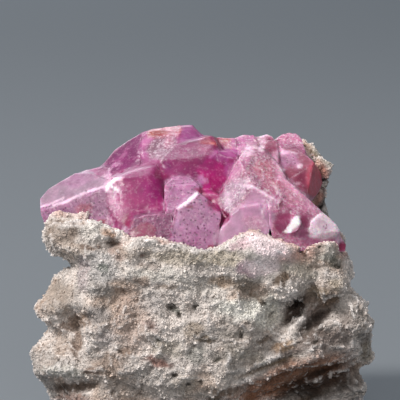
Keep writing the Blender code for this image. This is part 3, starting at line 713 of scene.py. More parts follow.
# What lies on them: windows, frost, stains, and bright edges and glints, which are painted
# highlights.
MARKS = (
    # left block: a pale upper face, its paleness partly painted light from above; a frosted lower
    # one; bright edge lines, which are painted highlights; and iron stain
    # the upper face's pale tint is partly painted light from above
    Zone(((-24.9, 34), (-24, 36.4), (-22.6, 37.4), (-18.9, 39.4), (-16.4, 39.3), (-14, 37.3),
          (-18, 35.8), (-22.2, 34.3)), "#b0a8ad", Skin.WAXY, 0.85, 0.2, far=2),
    Zone(((-21.5, 37.4), (-18.7, 39.2), (-16.6, 38.9), (-16.4, 37.9), (-19, 36.9)), "#ad91a5",
         None, 0.7, 0.4, far=2),
    # painted highlights along the block's edges
    Zone(((-22.4, 34.0), (-20.5, 34.5), (-17, 36.1), (-14.2, 37.0), (-14.2, 37.3), (-17.2, 36.4),
          (-20.6, 34.9), (-22.4, 34.3)), "#eddbe8", Skin.WHITE, 0.95, 0.09, wander=0.05, far=2),
    Zone(((-24.4, 33.7), (-22.5, 34.3), (-20.6, 35.2), (-20.6, 35.45), (-22.6, 34.6),
          (-24.4, 34.0)), "#e6d2e0", Skin.WHITE, 0.9, 0.09, wander=0.05, far=2),
    Zone(((-24.9, 33.4), (-24.9, 35.7), (-24.2, 35.9), (-24.3, 33.4)), "#dcc6d6", Skin.WHITE,
         0.7, 0.2, far=2),
    Zone(((-23.8, 33.2), (-19.8, 33.8), (-19.6, 31.4), (-23.6, 31.2)), "#93778f", Skin.FROSTED,
         0.7, 0.4, far=2),
    Zone(((-19.3, 35), (-14.6, 36.4), (-14.4, 32.2), (-18, 32)), "#a28b9a", Skin.FROSTED, 0.7,
         0.5, far=2),
    Patch(-17.9, 33.3, 1.5, 1.0, "#a86f72", 0.75),
    Patch(-19.6, 32.3, 0.9, 0.8, "#a17880", 0.5),
    Patch(-15.0, 31.4, 1.0, 0.6, "#9c5358", 0.85, -15),
    Patch(-17.4, 36.3, 0.25, 0.25, "#6b5560", 0.9, wander=0.1),
    Patch(-23.2, 31.4, 0.8, 0.8, "#9a6480", 0.6),
    # bright broken corner between the left block and the deep crystal: pale sugary calcite with
    # white lines that are painted glints
    Patch(-13.9, 37.3, 1.0, 1.9, "#dcc6d4", 0.75, 28, Skin.SUGARY, 0.9),
    # painted glints on the broken corner
    Patch(-13.5, 37.7, 1.2, 0.30, "#fff8fd", 1.0, 42, Skin.WHITE, 0.15),
    Patch(-13.0, 36.6, 1.0, 0.28, "#fff8fd", 0.95, -38, Skin.WHITE, 0.15),
    Patch(-14.2, 36.9, 0.8, 0.28, "#fff8fd", 0.95, 75, Skin.WHITE, 0.15),
    Patch(-12.4, 38.1, 0.7, 0.26, "#f8ecf4", 0.9, 20, Skin.WHITE, 0.15),
    Patch(-13.1, 34.6, 0.7, 2.0, "#d9bccb", 0.8, 10, Skin.SUGARY, 0.7),
    Patch(-14.0, 31.6, 0.8, 1.4, "#cdb0c0", 0.7, 10, Skin.SUGARY, 0.6),
    Patch(-11.9, 36.0, 1.1, 1.6, "#b77c9b", 0.7, 0, Skin.SUGARY, 0.6),
    # back slope
    Patch(-12.1, 41.4, 0.35, 2.0, "#b879a0", 0.5, -35),
    Patch(-9.0, 43.2, 0.5, 1.5, "#bd80a6", 0.6, -40),
    Patch(-11.8, 40.4, 2.0, 1.0, "#8f2f74", 0.7, 40, Skin.GLASSY),
    Patch(-9.6, 41.6, 0.5, 1.6, "#a85c90", 0.7, -40, Skin.SUGARY),
    Patch(-13.4, 39.4, 0.3, 1.4, "#b983a6", 0.6, -48, Skin.SUGARY),
    Patch(-15.2, 38.9, 1.4, 0.6, "#a5768f", 0.7, 15),
    Patch(-10.6, 38.6, 2.4, 0.7, "#a3487c", 0.7, 20),
    # peak: a frosted white window, a rust stain with a pale crust, a violet end face
    Zone(((-8.8, 42.4), (-7.2, 44.5), (-4.1, 44.3), (-4.1, 43.2), (-6.4, 40.7), (-8.2, 41.2)),
         "#8a6e78", Skin.SUGARY, 0.9, 0.3),
    Patch(-6.9, 41.9, 1.3, 0.8, "#aa9a9f", 0.7, 35, Skin.WHITE),
    Patch(-5.3, 43.5, 1.0, 0.8, "#c99aa5", 0.7, 0, Skin.SUGARY),
    Zone(((-8.6, 44.1), (-8.4, 45.9), (-3.4, 46.1), (-3.4, 44.4)), "#b98182", Skin.SUGARY, 0.8,
         0.3),
    Patch(-7.4, 45.1, 1.0, 0.35, "#e2cdc6", 0.9, 10, Skin.WHITE, 0.3, 9),
    Patch(-4.9, 45.7, 1.5, 0.3, "#dcc0bd", 0.8, 3, Skin.WHITE, 0.3, 9),
    Patch(-6.9, 44.9, 1.7, 0.42, "#9a2412", 0.95, 12, Skin.WAXY, 0.3),
    Patch(-7.9, 44.6, 0.4, 0.4, "#b5512f", 0.8, 0, None, 0.3),
    Patch(-3.7, 45.1, 0.35, 0.8, "#bb6f66", 0.8, -15, None, 0.3),
    Zone(((-3.5, 43.4), (-3.5, 46.3), (-1.4, 46.3), (0, 43.9)), "#b36aa0", Skin.GLASSY, 0.9, 0.2,
         far=14),
    Patch(-2.6, 46.0, 1.1, 0.25, "#e3c3da", 0.8, 3, None, 0.2, 14),
    Patch(-2.2, 43.5, 2.2, 0.22, "#7d3a5c", 0.7, 10, None, 0.1),
    # middle crystal: rust at the top, rough pale belt, deep window and violet depths
    Patch(-1.8, 42.2, 3.4, 1.3, "#8c2b62", 0.65, 8, Skin.GLASSY, 0.4, 9),
    Patch(0.7, 43.6, 1.6, 0.8, "#a23044", 0.95, -8, Skin.WAXY, 0.5, 9),
    Patch(1.2, 43.3, 0.5, 0.3, "#cf6a55", 0.9, 0, None, 0.3),
    Patch(-3.4, 42.3, 1.6, 0.6, "#9c5580", 0.4, 12, Skin.SUGARY, 0.4),
    Patch(-0.4, 42.7, 1.1, 0.5, "#b9758f", 0.4, 0, Skin.SUGARY, 0.5),
    Patch(-2.2, 40.9, 1.5, 0.9, "#95316b", 0.7, 0, Skin.GLASSY),
    Patch(-5.9, 40.0, 0.9, 0.8, "#8f2d78", 0.8, -10, Skin.GLASSY, 0.4),
    Patch(-6.6, 38.7, 0.8, 1.1, "#993060", 0.7, 0, Skin.GLASSY, 0.4),
    Patch(-4.4, 38.9, 1.8, 0.9, "#a14a80", 0.6),
    Zone(((-1.2, 39.3), (0.2, 41.0), (2.2, 40.6), (3.3, 38.6), (2.6, 36.2), (2.3, 33.2),
          (0.9, 33.9), (-0.2, 36.8)), "#bd3687", Skin.GLASSY, 0.95, 0.35),
    Patch(1.5, 35.0, 1.3, 1.8, "#a3246b", 0.9, 0, Skin.GLASSY),
    Patch(1.1, 37.6, 1.1, 1.4, "#bf2681", 0.8, 0, Skin.GLASSY),
    Patch(0.2, 40.0, 1.6, 0.7, "#a5387b", 0.8, 0, Skin.GLASSY),
    Zone(((0.4, 41.2), (1.4, 42.3), (4.3, 42.4), (4.6, 41.5), (3.0, 41.3), (2.2, 40.6)),
         "#bd6ea6", Skin.WAXY, 0.85, 0.25),
    Patch(4.0, 40.8, 0.9, 0.35, "#a23a78", 0.9, 8, Skin.GLASSY, 0.2),
    Patch(3.4, 39.2, 1.0, 0.9, "#b3619b", 0.8, 60, Skin.SATIN, 0.4),
    # deep crystal: dark magenta with a crimson foot and pale flecked sides
    Zone(((-11.6, 37.6), (-9, 38.3), (-6.5, 38.0), (-6.1, 34.2), (-7.2, 33.1), (-9, 33.3),
          (-11.2, 32.2), (-12, 34)), "#a62b78", Skin.GLASSY, 0.9, 0.5),
    Patch(-8.3, 36.0, 1.9, 1.8, "#a5247e", 0.7, 0, Skin.GLASSY),
    Patch(-9.3, 34.4, 1.8, 0.9, "#9e2470", 0.8, 10, Skin.GLASSY),
    Patch(-11.4, 32.0, 1.0, 1.1, "#96285c", 0.9, 20, Skin.GLASSY, 0.5),
    Patch(-12.6, 32.7, 0.7, 1.2, "#a4527f", 0.6, 0, Skin.SUGARY),
    Patch(-8.6, 33.6, 2.2, 0.3, "#c77f9f", 0.5, 6, Skin.SUGARY, 0.4),
    # frosted foot with its crimson window
    Zone(((-11.0, 30.5), (-9.7, 31.5), (-8.6, 31.7), (-7.3, 30.9), (-7.5, 29.4), (-10.9, 29.4)),
         "#8f0a55", Skin.GLASSY, 1.0, 0.20, wander=0.15),
    Patch(-11.9, 30.6, 0.6, 0.5, "#c9a9bb", 0.7, 0, Skin.SUGARY, 0.3),
    # frosted pair: a bright sliver that is a painted highlight, dark seam, striations, crimson
    # corners
    # the bright sliver is a painted highlight along the ridge
    Zone(((-4.3, 33.7), (-3.6, 34.4), (-2.6, 35.0), (-1.4, 36.3), (-1.0, 36.0), (-1.9, 35.0),
          (-2.6, 34.3), (-3.9, 33.6)), "#f6eef8", Skin.WHITE, 1.0, 0.10, wander=0.04),
    Patch(-4.2, 32.2, 0.35, 1.6, "#cdb3cc", 0.7, -12, Skin.FROSTED, 0.2),
    Zone(((-4.5, 33.8), (-5.0, 31.6), (-5.6, 28.6), (-5.3, 28.6), (-4.6, 31.6), (-4.2, 33.8)),
         "#8c4470", None, 0.8, 0.15, wander=0.08),
    Patch(-2.2, 34.0, 0.6, 0.3, "#9a3b64", 0.9, 10, Skin.GLASSY, 0.15),
    Patch(-0.9, 29.4, 2.4, 1.6, "#a9759a", 0.45),
    Patch(0.9, 28.1, 0.9, 0.4, "#9b2b57", 0.9, 10, Skin.GLASSY, 0.2),
    Patch(-3.4, 36.6, 1.6, 1.2, "#b48ca8", 0.6, 0, Skin.FROSTED),
    Patch(-0.7, 37.6, 0.9, 0.8, "#bb93b4", 0.7, 0, Skin.FROSTED),
    Zone(((2.1, 31.6), (2.5, 33.4), (3.7, 32.7), (2.9, 31.6), (2.2, 30.4)), "#9f3a68",
         Skin.GLASSY, 0.95, 0.2, wander=0.1),
    Patch(1.9, 30.2, 0.4, 1.6, "#a2567f", 0.7, -25, None, 0.2),
    # large pale crystal: white pitted corner, white ridge lines that are painted highlights,
    # smooth lilac face, warm top
    Zone(((1.9, 35.6), (2.6, 37.2), (4.2, 37.6), (6.7, 36.9), (5.2, 35), (3.6, 32.8), (2.1, 34.1)),
         "#b0a3ab", Skin.SUGARY, 0.9, 0.4),
    Patch(5.2, 37.6, 1.6, 0.9, "#c6bac2", 0.8, 10, Skin.SUGARY, 0.5),
    Patch(4.6, 39.3, 0.9, 1.8, "#d3a4bd", 0.6, -25, Skin.SUGARY),
    # painted highlight along the ridge
    Zone(((5.6, 37.4), (6.9, 37.15), (9.9, 35.4), (9.8, 35.05), (6.8, 36.75), (5.5, 37.0)),
         "#f0e0ea", Skin.WHITE, 0.9, 0.15, wander=0.1),
    Zone(((4.4, 33.4), (5.4, 34.6), (6.9, 36.6), (9.7, 35.0), (9.2, 33), (7.4, 32)), "#cbabc0",
         Skin.WAXY, 0.85, 0.35),
    Zone(((5.3, 41.6), (6.3, 43.3), (7.3, 43.2), (7.0, 42.0), (6.0, 41.3)), "#e2c6d4",
         Skin.SUGARY, 0.85, 0.3),
    Patch(8.1, 42.5, 0.5, 0.4, "#f3e2ea", 0.9, 0, Skin.WHITE, 0.2),
    Patch(3.1, 35.2, 0.7, 1.5, "#dfd0d9", 0.7, 20, Skin.SUGARY, 0.6),
    Patch(5.6, 36.3, 0.4, 1.0, "#d9c6d1", 0.6, -30, Skin.SUGARY, 0.5),
    Patch(7.6, 39.8, 0.30, 1.6, "#ecdbe4", 0.7, 18, Skin.SUGARY, 0.3),
    # painted highlights: short white lines on edges
    Patch(10.0, 36.9, 0.3, 1.5, "#f4e6ec", 0.8, 35, Skin.WHITE, 0.2),
    Patch(8.6, 33.6, 0.35, 0.9, "#f6ecf2", 0.85, -20, Skin.WHITE, 0.2),
    Patch(8.6, 39.6, 1.8, 1.6, "#cf9096", 0.75, 0, Skin.SUGARY),
    Patch(9.9, 37.6, 1.4, 1.2, "#cb8b95", 0.7, 0, Skin.SUGARY),
    Patch(5.6, 40.8, 0.9, 0.8, "#cb92b0", 0.6, 0, Skin.SUGARY),
    Patch(9.4, 34.2, 1.0, 1.7, "#d9b8cc", 0.7, -15, Skin.SUGARY),
    # waxy foot
    Zone(((0.9, 29.2), (3.6, 32.7), (5.2, 33.6), (5.6, 31.6), (3.4, 28.4), (1.4, 27.6)),
         "#cdb4c5", Skin.WAXY, 0.9, 0.3),
    Patch(2.4, 28.0, 1.6, 0.35, "#d9bccb", 0.7, 25, Skin.WAXY, 0.2),
    Patch(7.2, 31.4, 2.0, 1.2, "#c8a0ad", 0.6, -10, Skin.SUGARY),
    # long wedge: warm sugary top, magenta windows, a bright chip and white rim lines that are
    # painted highlights, mauve foot
    Patch(12.6, 36.2, 2.4, 1.3, "#dba7b3", 0.7, -40, Skin.SUGARY),
    Patch(15.4, 34.2, 2.0, 0.8, "#d4b0bd", 0.7, -42, Skin.SUGARY),
    Zone(((9.9, 31.0), (10.7, 33.4), (12.5, 33.0), (12.3, 31.6), (11.5, 30.0), (10.8, 29.8)),
         "#b0587f", Skin.GLASSY, 0.9, 0.25),
    Patch(14.3, 31.9, 0.8, 1.2, "#a44b72", 0.9, 30, Skin.GLASSY, 0.3),
    # the bright chip is a painted highlight
    Zone(((11.35, 30.25), (13.15, 32.7), (13.7, 32.7), (14.0, 31.6), (13.3, 30.7), (12.4, 30.1)),
         "#fffafd", Skin.WHITE, 1.0, 0.10, wander=0.02, far=-8),
    Zone(((12.6, 30.4), (13.6, 31.3), (15.1, 30.3), (15.2, 29.4), (12.2, 29.6)), "#bb8098",
         Skin.WAXY, 0.85, 0.2),
    Patch(16.9, 31.2, 1.2, 0.9, "#bfb0ba", 0.6, -15, Skin.FROSTED, 0.3),
    # white lines along the wedge's rim: painted highlights
    Patch(18.9, 31.0, 0.35, 1.5, "#f1e6ee", 0.85, 40, Skin.WHITE, 0.3),
    Patch(16.4, 29.7, 1.6, 0.25, "#efe2ea", 0.8, -4, Skin.WHITE, 0.2),
    Patch(15.4, 30.8, 0.3, 1.2, "#e6d6e0", 0.7, 10, Skin.WHITE, 0.2),
    Patch(20.2, 28.2, 0.7, 0.8, "#ab3f62", 0.85, 0, Skin.GLASSY, 0.2),
    Patch(19.6, 29.3, 0.5, 0.6, "#ead6e0", 0.7, 0, Skin.WHITE, 0.2),
    # red-brown crystal in the hollow and its frosted shoulder: its red is painted brighter to lift
    # the shade it stands in, which is painted light, and its white dots are painted glints
    Zone(((15.8, 40.9), (15.1, 38.4), (14.6, 36.0), (16.2, 35.4), (17.6, 37.4), (17.2, 39.2)),
         "#cf5560", Skin.GLASSY, 0.9, 0.2, near=-6, far=9),
    Patch(14.0, 37.6, 1.2, 1.5, "#a4526b", 0.8, 20, Skin.GLASSY),
    # a paler red painted over the crystal's shaded side: painted light
    Patch(15.9, 38.2, 1.3, 2.4, "#e27f8a", 0.75, 0, Skin.SATIN, 0.3, 12),
    Patch(12.0, 40.8, 1.9, 1.4, "#b994ab", 0.85, -10, Skin.FROSTED),
    # painted glints
    Patch(12.2, 41.9, 1.6, 0.3, "#dcc8d6", 0.7, 8, Skin.WHITE, 0.3),
    Patch(13.2, 37.3, 0.7, 0.3, "#e0c2cc", 0.7, 15, Skin.WHITE, 0.2),
    Patch(10.5, 40.0, 2.6, 0.50, "#f2bccf", 0.9, -72, Skin.SUGARY, 0.2, 14),
    Patch(12.6, 36.9, 2.2, 0.45, "#f2bccf", 0.9, -42, Skin.SUGARY, 0.2, 14),
    # painted glints
    Patch(10.9, 42.0, 0.8, 0.6, "#e6c3d2", 0.8, 0, Skin.WHITE, 0.3, 12),
    Patch(13.6, 40.0, 0.5, 0.3, "#f4e4ec", 0.9, 30, Skin.WHITE, 0.2, 12),
    Patch(11.3, 39.4, 0.4, 0.25, "#f4e4ec", 0.9, -20, Skin.WHITE, 0.2, 12),
    # the row along the back
    Patch(3.0, 43.7, 0.8, 0.4, "#cf8f78", 0.8, 0, None, 0.4, 9),
    Patch(8.7, 44.6, 1.3, 0.35, "#e6d6dc", 0.9, 3, Skin.WHITE, 0.3, 12),
    Patch(5.4, 44.5, 0.7, 0.3, "#dcb9c6", 0.7, 0, Skin.WHITE, 0.3, 12),
    Patch(9.4, 42.9, 0.8, 1.1, "#94405f", 0.85, 0, Skin.GLASSY, 0.2),
    Patch(12.4, 42.9, 2.0, 0.5, "#96607a", 0.7, -8, None, 0.3),
)

# The matrix, patch by patch, on the side that faces the front.
ROCK_MARKS = (
    Patch(-21.3, 30.2, 2.4, 2.2, "#8b7a6b", 0.85, 0, None, 0.6, 8),
    Patch(-16.7, 30.6, 1.9, 1.4, "#bfbab1", 0.8),
    Patch(-18.2, 31.5, 0.8, 0.8, "#8c7360", 0.6),
    Patch(-14.0, 29.9, 1.2, 0.9, "#a8846a", 0.85),
    # a dark brown crevice: partly its brown, partly painted shade
    Patch(-13.2, 28.4, 1.3, 0.7, "#4a372c", 0.9, -12),
    Patch(-12.8, 27.0, 1.3, 1.0, "#8f7265", 0.7),
    Patch(-19.5, 27.5, 2.2, 1.6, "#ac9c8c", 0.6),
    Patch(-15.2, 25.0, 2.6, 2.4, "#afaca8", 0.8),
    Patch(-15.0, 25.0, 1.0, 0.7, "#6f756c", 0.8, 0, None, 0.4),
    Patch(-17.9, 24.0, 0.9, 2.6, "#b2a4a4", 0.6),
    Patch(-15.2, 21.6, 2.0, 1.2, "#8d8b87", 0.7),
    Patch(-10.2, 27.2, 3.0, 1.0, "#a79a8b", 0.6),
    Patch(-6.5, 29.2, 2.6, 0.6, "#b48d7c", 0.7, -6),
    Patch(-8.5, 25.3, 1.6, 0.8, "#8d7e74", 0.6),
    Patch(-7.0, 24.0, 5.2, 1.2, "#c6c1b7", 0.9, -4),
    Patch(-1.0, 22.4, 4.4, 1.4, "#c2bcb3", 0.85, -12),
    Patch(-3.8, 26.4, 4.6, 1.3, "#aaa08f", 0.8, -3),
    Patch(2.6, 26.2, 4.0, 1.3, "#b2a793", 0.8, -3),
    Patch(-11.4, 21.6, 2.2, 1.8, "#a48e7c", 0.65),
    Patch(-10.8, 17.0, 3.2, 5.2, "#ad9789", 0.65),
    Patch(-21.7, 20.6, 2.6, 3.0, "#9a8d80", 0.9, 0, None, 0.6, 8),
    Patch(-18.4, 17.3, 1.7, 1.0, "#8f7865", 0.85, 8),
    Patch(-20.2, 16.2, 1.4, 0.9, "#7d6452", 0.7),
    Patch(-18.8, 13.9, 0.9, 2.6, "#7f6857", 0.8, -8),
    Patch(-20.9, 13.6, 1.5, 1.6, "#9c8a7a", 0.6),
    Patch(-15.7, 17.9, 1.9, 1.8, "#86827f", 0.8),
    Patch(-14.6, 14.6, 1.7, 1.8, "#a59c98", 0.6),
    Patch(-14.4, 10.6, 2.6, 1.8, "#8d7766", 0.7),
    Patch(-21.0, 9.6, 3.6, 0.9, "#bdbab0", 0.9, -4, None, 0.4),
    # painted shade under the lower-left ledge, over its brown
    Patch(-19.2, 7.4, 4.2, 0.9, "#4e3a2c", 0.9, 4, None, 0.4),
    Patch(-19.6, 5.8, 3.0, 0.9, "#6e4c3c", 0.8),
    Patch(-8.0, 20.0, 2.0, 1.8, "#a7a19c", 0.6),
    Patch(-7.9, 16.4, 1.3, 0.9, "#85706a", 0.7),
    Patch(-4.6, 18.6, 1.1, 0.7, "#62655c", 0.85, -45, None, 0.4),
    Patch(-1.4, 16.0, 1.9, 0.9, "#8a7a66", 0.7, 10),
    Patch(-6.9, 11.0, 2.1, 0.9, "#94695c", 0.85, -8),
    Patch(-5.6, 13.0, 2.4, 1.2, "#b0a898", 0.6),
    Patch(-1.2, 12.4, 1.8, 1.4, "#7e7f78", 0.7),
    Patch(-3.2, 7.8, 2.2, 1.4, "#9d9486", 0.6),
    Patch(-9.2, 7.0, 3.0, 1.4, "#b0a8a0", 0.6),
    Patch(2.3, 22.8, 2.2, 0.9, "#927d68", 0.8, -8),
    # painted shade in the recess below the pale ridge
    Patch(5.8, 22.4, 2.4, 0.9, "#6f6559", 0.75, 10),
    Patch(6.2, 24.8, 1.9, 1.3, "#cdabb5", 0.85),
    Patch(9.2, 28.4, 4.4, 2.0, "#f0dee0", 0.95, -25),
    Patch(5.0, 28.4, 1.8, 0.9, "#c5a2ab", 0.7, 20),
    Patch(12.2, 28.0, 1.8, 0.6, "#cfc2bc", 0.8, -42),
    Patch(8.4, 25.2, 2.8, 1.4, "#e8d7d6", 0.85),
    # a small groove: brown, darkened with painted shade
    Patch(11.3, 23.3, 1.7, 0.7, "#56432f", 0.9, 46),
    Patch(14.0, 24.6, 3.0, 1.2, "#a7a194", 0.7, -15),
    Patch(17.6, 27.4, 2.8, 1.3, "#a3a49b", 0.8),
    Patch(18.9, 26.0, 1.2, 0.9, "#5e5f55", 0.8),
    Patch(15.4, 28.6, 2.4, 0.5, "#8f8378", 0.7, -4),
    Patch(5.0, 18.8, 4.2, 1.8, "#d3d2c8", 0.9, -8),
    Patch(9.6, 17.6, 2.0, 1.8, "#d2ccc2", 0.9),
    Patch(4.2, 15.2, 2.4, 1.0, "#7d7870", 0.7, 10),
    Patch(6.0, 12.0, 3.4, 1.2, "#9c968a", 0.6, -20),
    Patch(3.2, 9.6, 3.4, 1.4, "#a8a097", 0.7, 20),
    Patch(2.2, 11.8, 1.6, 0.9, "#6c6b66", 0.7),
    # painted shade in the first groove beside the right-hand knobs
    Patch(13.2, 18.8, 1.2, 3.6, "#3a2a20", 0.95, -38, None, 0.3),
    Patch(15.2, 18.2, 0.7, 2.4, "#8c807a", 0.8, -42, None, 0.3),
    Patch(17.2, 20.6, 2.6, 2.3, "#6b5747", 0.75, -20),
    Patch(8.6, 18.6, 2.4, 2.6, "#d8d7cc", 0.85, -10),
    # painted shade in the second groove beside the right-hand knobs
    Patch(16.0, 17.0, 1.1, 3.7, "#2a1c14", 0.95, -53, None, 0.3),
    Patch(12.0, 12.7, 2.4, 0.9, "#5c4535", 0.7, 20),
    Patch(16.6, 21.4, 1.8, 1.0, "#8b7c68", 0.7, -20),
    Patch(18.4, 20.4, 2.0, 0.8, "#6c5744", 0.8, 30),
    Patch(19.2, 22.6, 1.4, 1.0, "#9a8c76", 0.7),
    Patch(11.2, 13.4, 1.8, 0.9, "#93795f", 0.85, 15),
    # the plateau: brown, darkened with painted shade from the groove above
    Patch(17.0, 14.2, 4.0, 2.0, "#5e534b", 0.9, 10),
    Patch(15.4, 15.2, 1.4, 0.5, "#5c564f", 0.7, 20),
    # painted shade on the right side, which turns away from the light
    Patch(20.6, 15.8, 1.2, 3.2, "#7d7068", 0.7),
    Patch(12.0, 8.4, 10.5, 2.3, "#8a5632", 0.9, 22),
    Patch(17.6, 8.8, 4.4, 2.0, "#6c4426", 0.9, 20),
    # painted shade on the right side, which turns away from the light
    Patch(22.6, 17.0, 1.4, 4.0, "#5a5148", 0.7, 12, None, 0.5, 10),
    Patch(23.8, 12.6, 1.2, 1.6, "#7d7566", 0.8, 0, None, 0.4, 10),
    Patch(2.4, 6.0, 3.2, 0.7, "#6f5a48", 0.8, 20),
    Patch(15.8, 41.2, 3.0, 1.8, "#877a60", 0.85, -40, None, 0.5, 25),
    # painted shadow on the back wall behind the red crystal
    Patch(17.2, 35.9, 1.5, 4.8, "#15100c", 1.0, 0, None, 0.3, 25),
    Patch(-9.4, 23.2, 1.6, 0.6, "#7b6657", 0.8, -20),
    Patch(-17.0, 27.9, 1.8, 0.5, "#6b5546", 0.8, -12),
    Patch(-5.6, 22.2, 1.8, 0.4, "#8a7867", 0.7, 8),
    Patch(7.6, 20.6, 1.4, 0.6, "#7c6a58", 0.8, -30),
    Patch(0.2, 14.4, 1.6, 0.4, "#74644f", 0.8, -14),
    Patch(8.2, 14.2, 1.2, 0.5, "#6d5b48", 0.8, 30),
    Patch(-11.8, 12.6, 1.6, 0.6, "#7a6250", 0.8, 24),
    Patch(-16.6, 9.4, 1.6, 0.5, "#6f5746", 0.8, -10),
    # painted shade under the overhang low on the right
    Patch(17.6, 7.6, 6.4, 2.6, "#33261f", 0.75, 12),
    # the plateau: brown, darkened with painted shade from the groove above
    Patch(17.0, 14.4, 4.2, 1.6, "#6e6058", 0.5, 20),
)


def paint(start: np.ndarray, marks: tuple[Zone | Patch, ...], spots: Spots, front: np.ndarray,
          gain: Triple, skins: np.ndarray | None = None, paleness: float = 0.0) -> np.ndarray:
    """Lays zones and patches over a surface's colours, in order.

    Args:
        start: The colours so far, one row for each place.
        marks: What is laid on, the last on top.
        spots: The surface's places.
        front: How much each place takes marks, from 0 to 1.
        gain: What the marks' red, green and blue are multiplied by. White is left white where
            there are skins.
        skins: Clear, frost and sugar shares, changed in place where a mark has a skin.
        paleness: How far the marks' hues are drawn back towards grey.

    Returns:
        The new colours.
    """
    colours = start.copy()
    for mark in marks:
        share = (mark.cover(spots) * front)[:, None]
        tint = linear(mark.tint)
        tint[:3] += paleness * (tint[:3].mean() - tint[:3])
        white = min(tint[:3]) ** 2 if skins is not None else 0.0
        tint[:3] *= white + (1 - white) * np.array(gain)
        colours += share * (tint - colours)
        if skins is not None and mark.skin is not None:
            skins += share * (mark.skin.value.shares() - skins)
    return colours


def lay(colours: np.ndarray, tint: str, share: np.ndarray) -> None:
    """Lays one colour over others, in place.

    Args:
        colours: The colours so far, one row for each place.
        tint: The colour, as sRGB hex.
        share: How much of it each place takes, from 0 to 1.
    """
    colours += share[:, None] * (linear(tint) - colours)


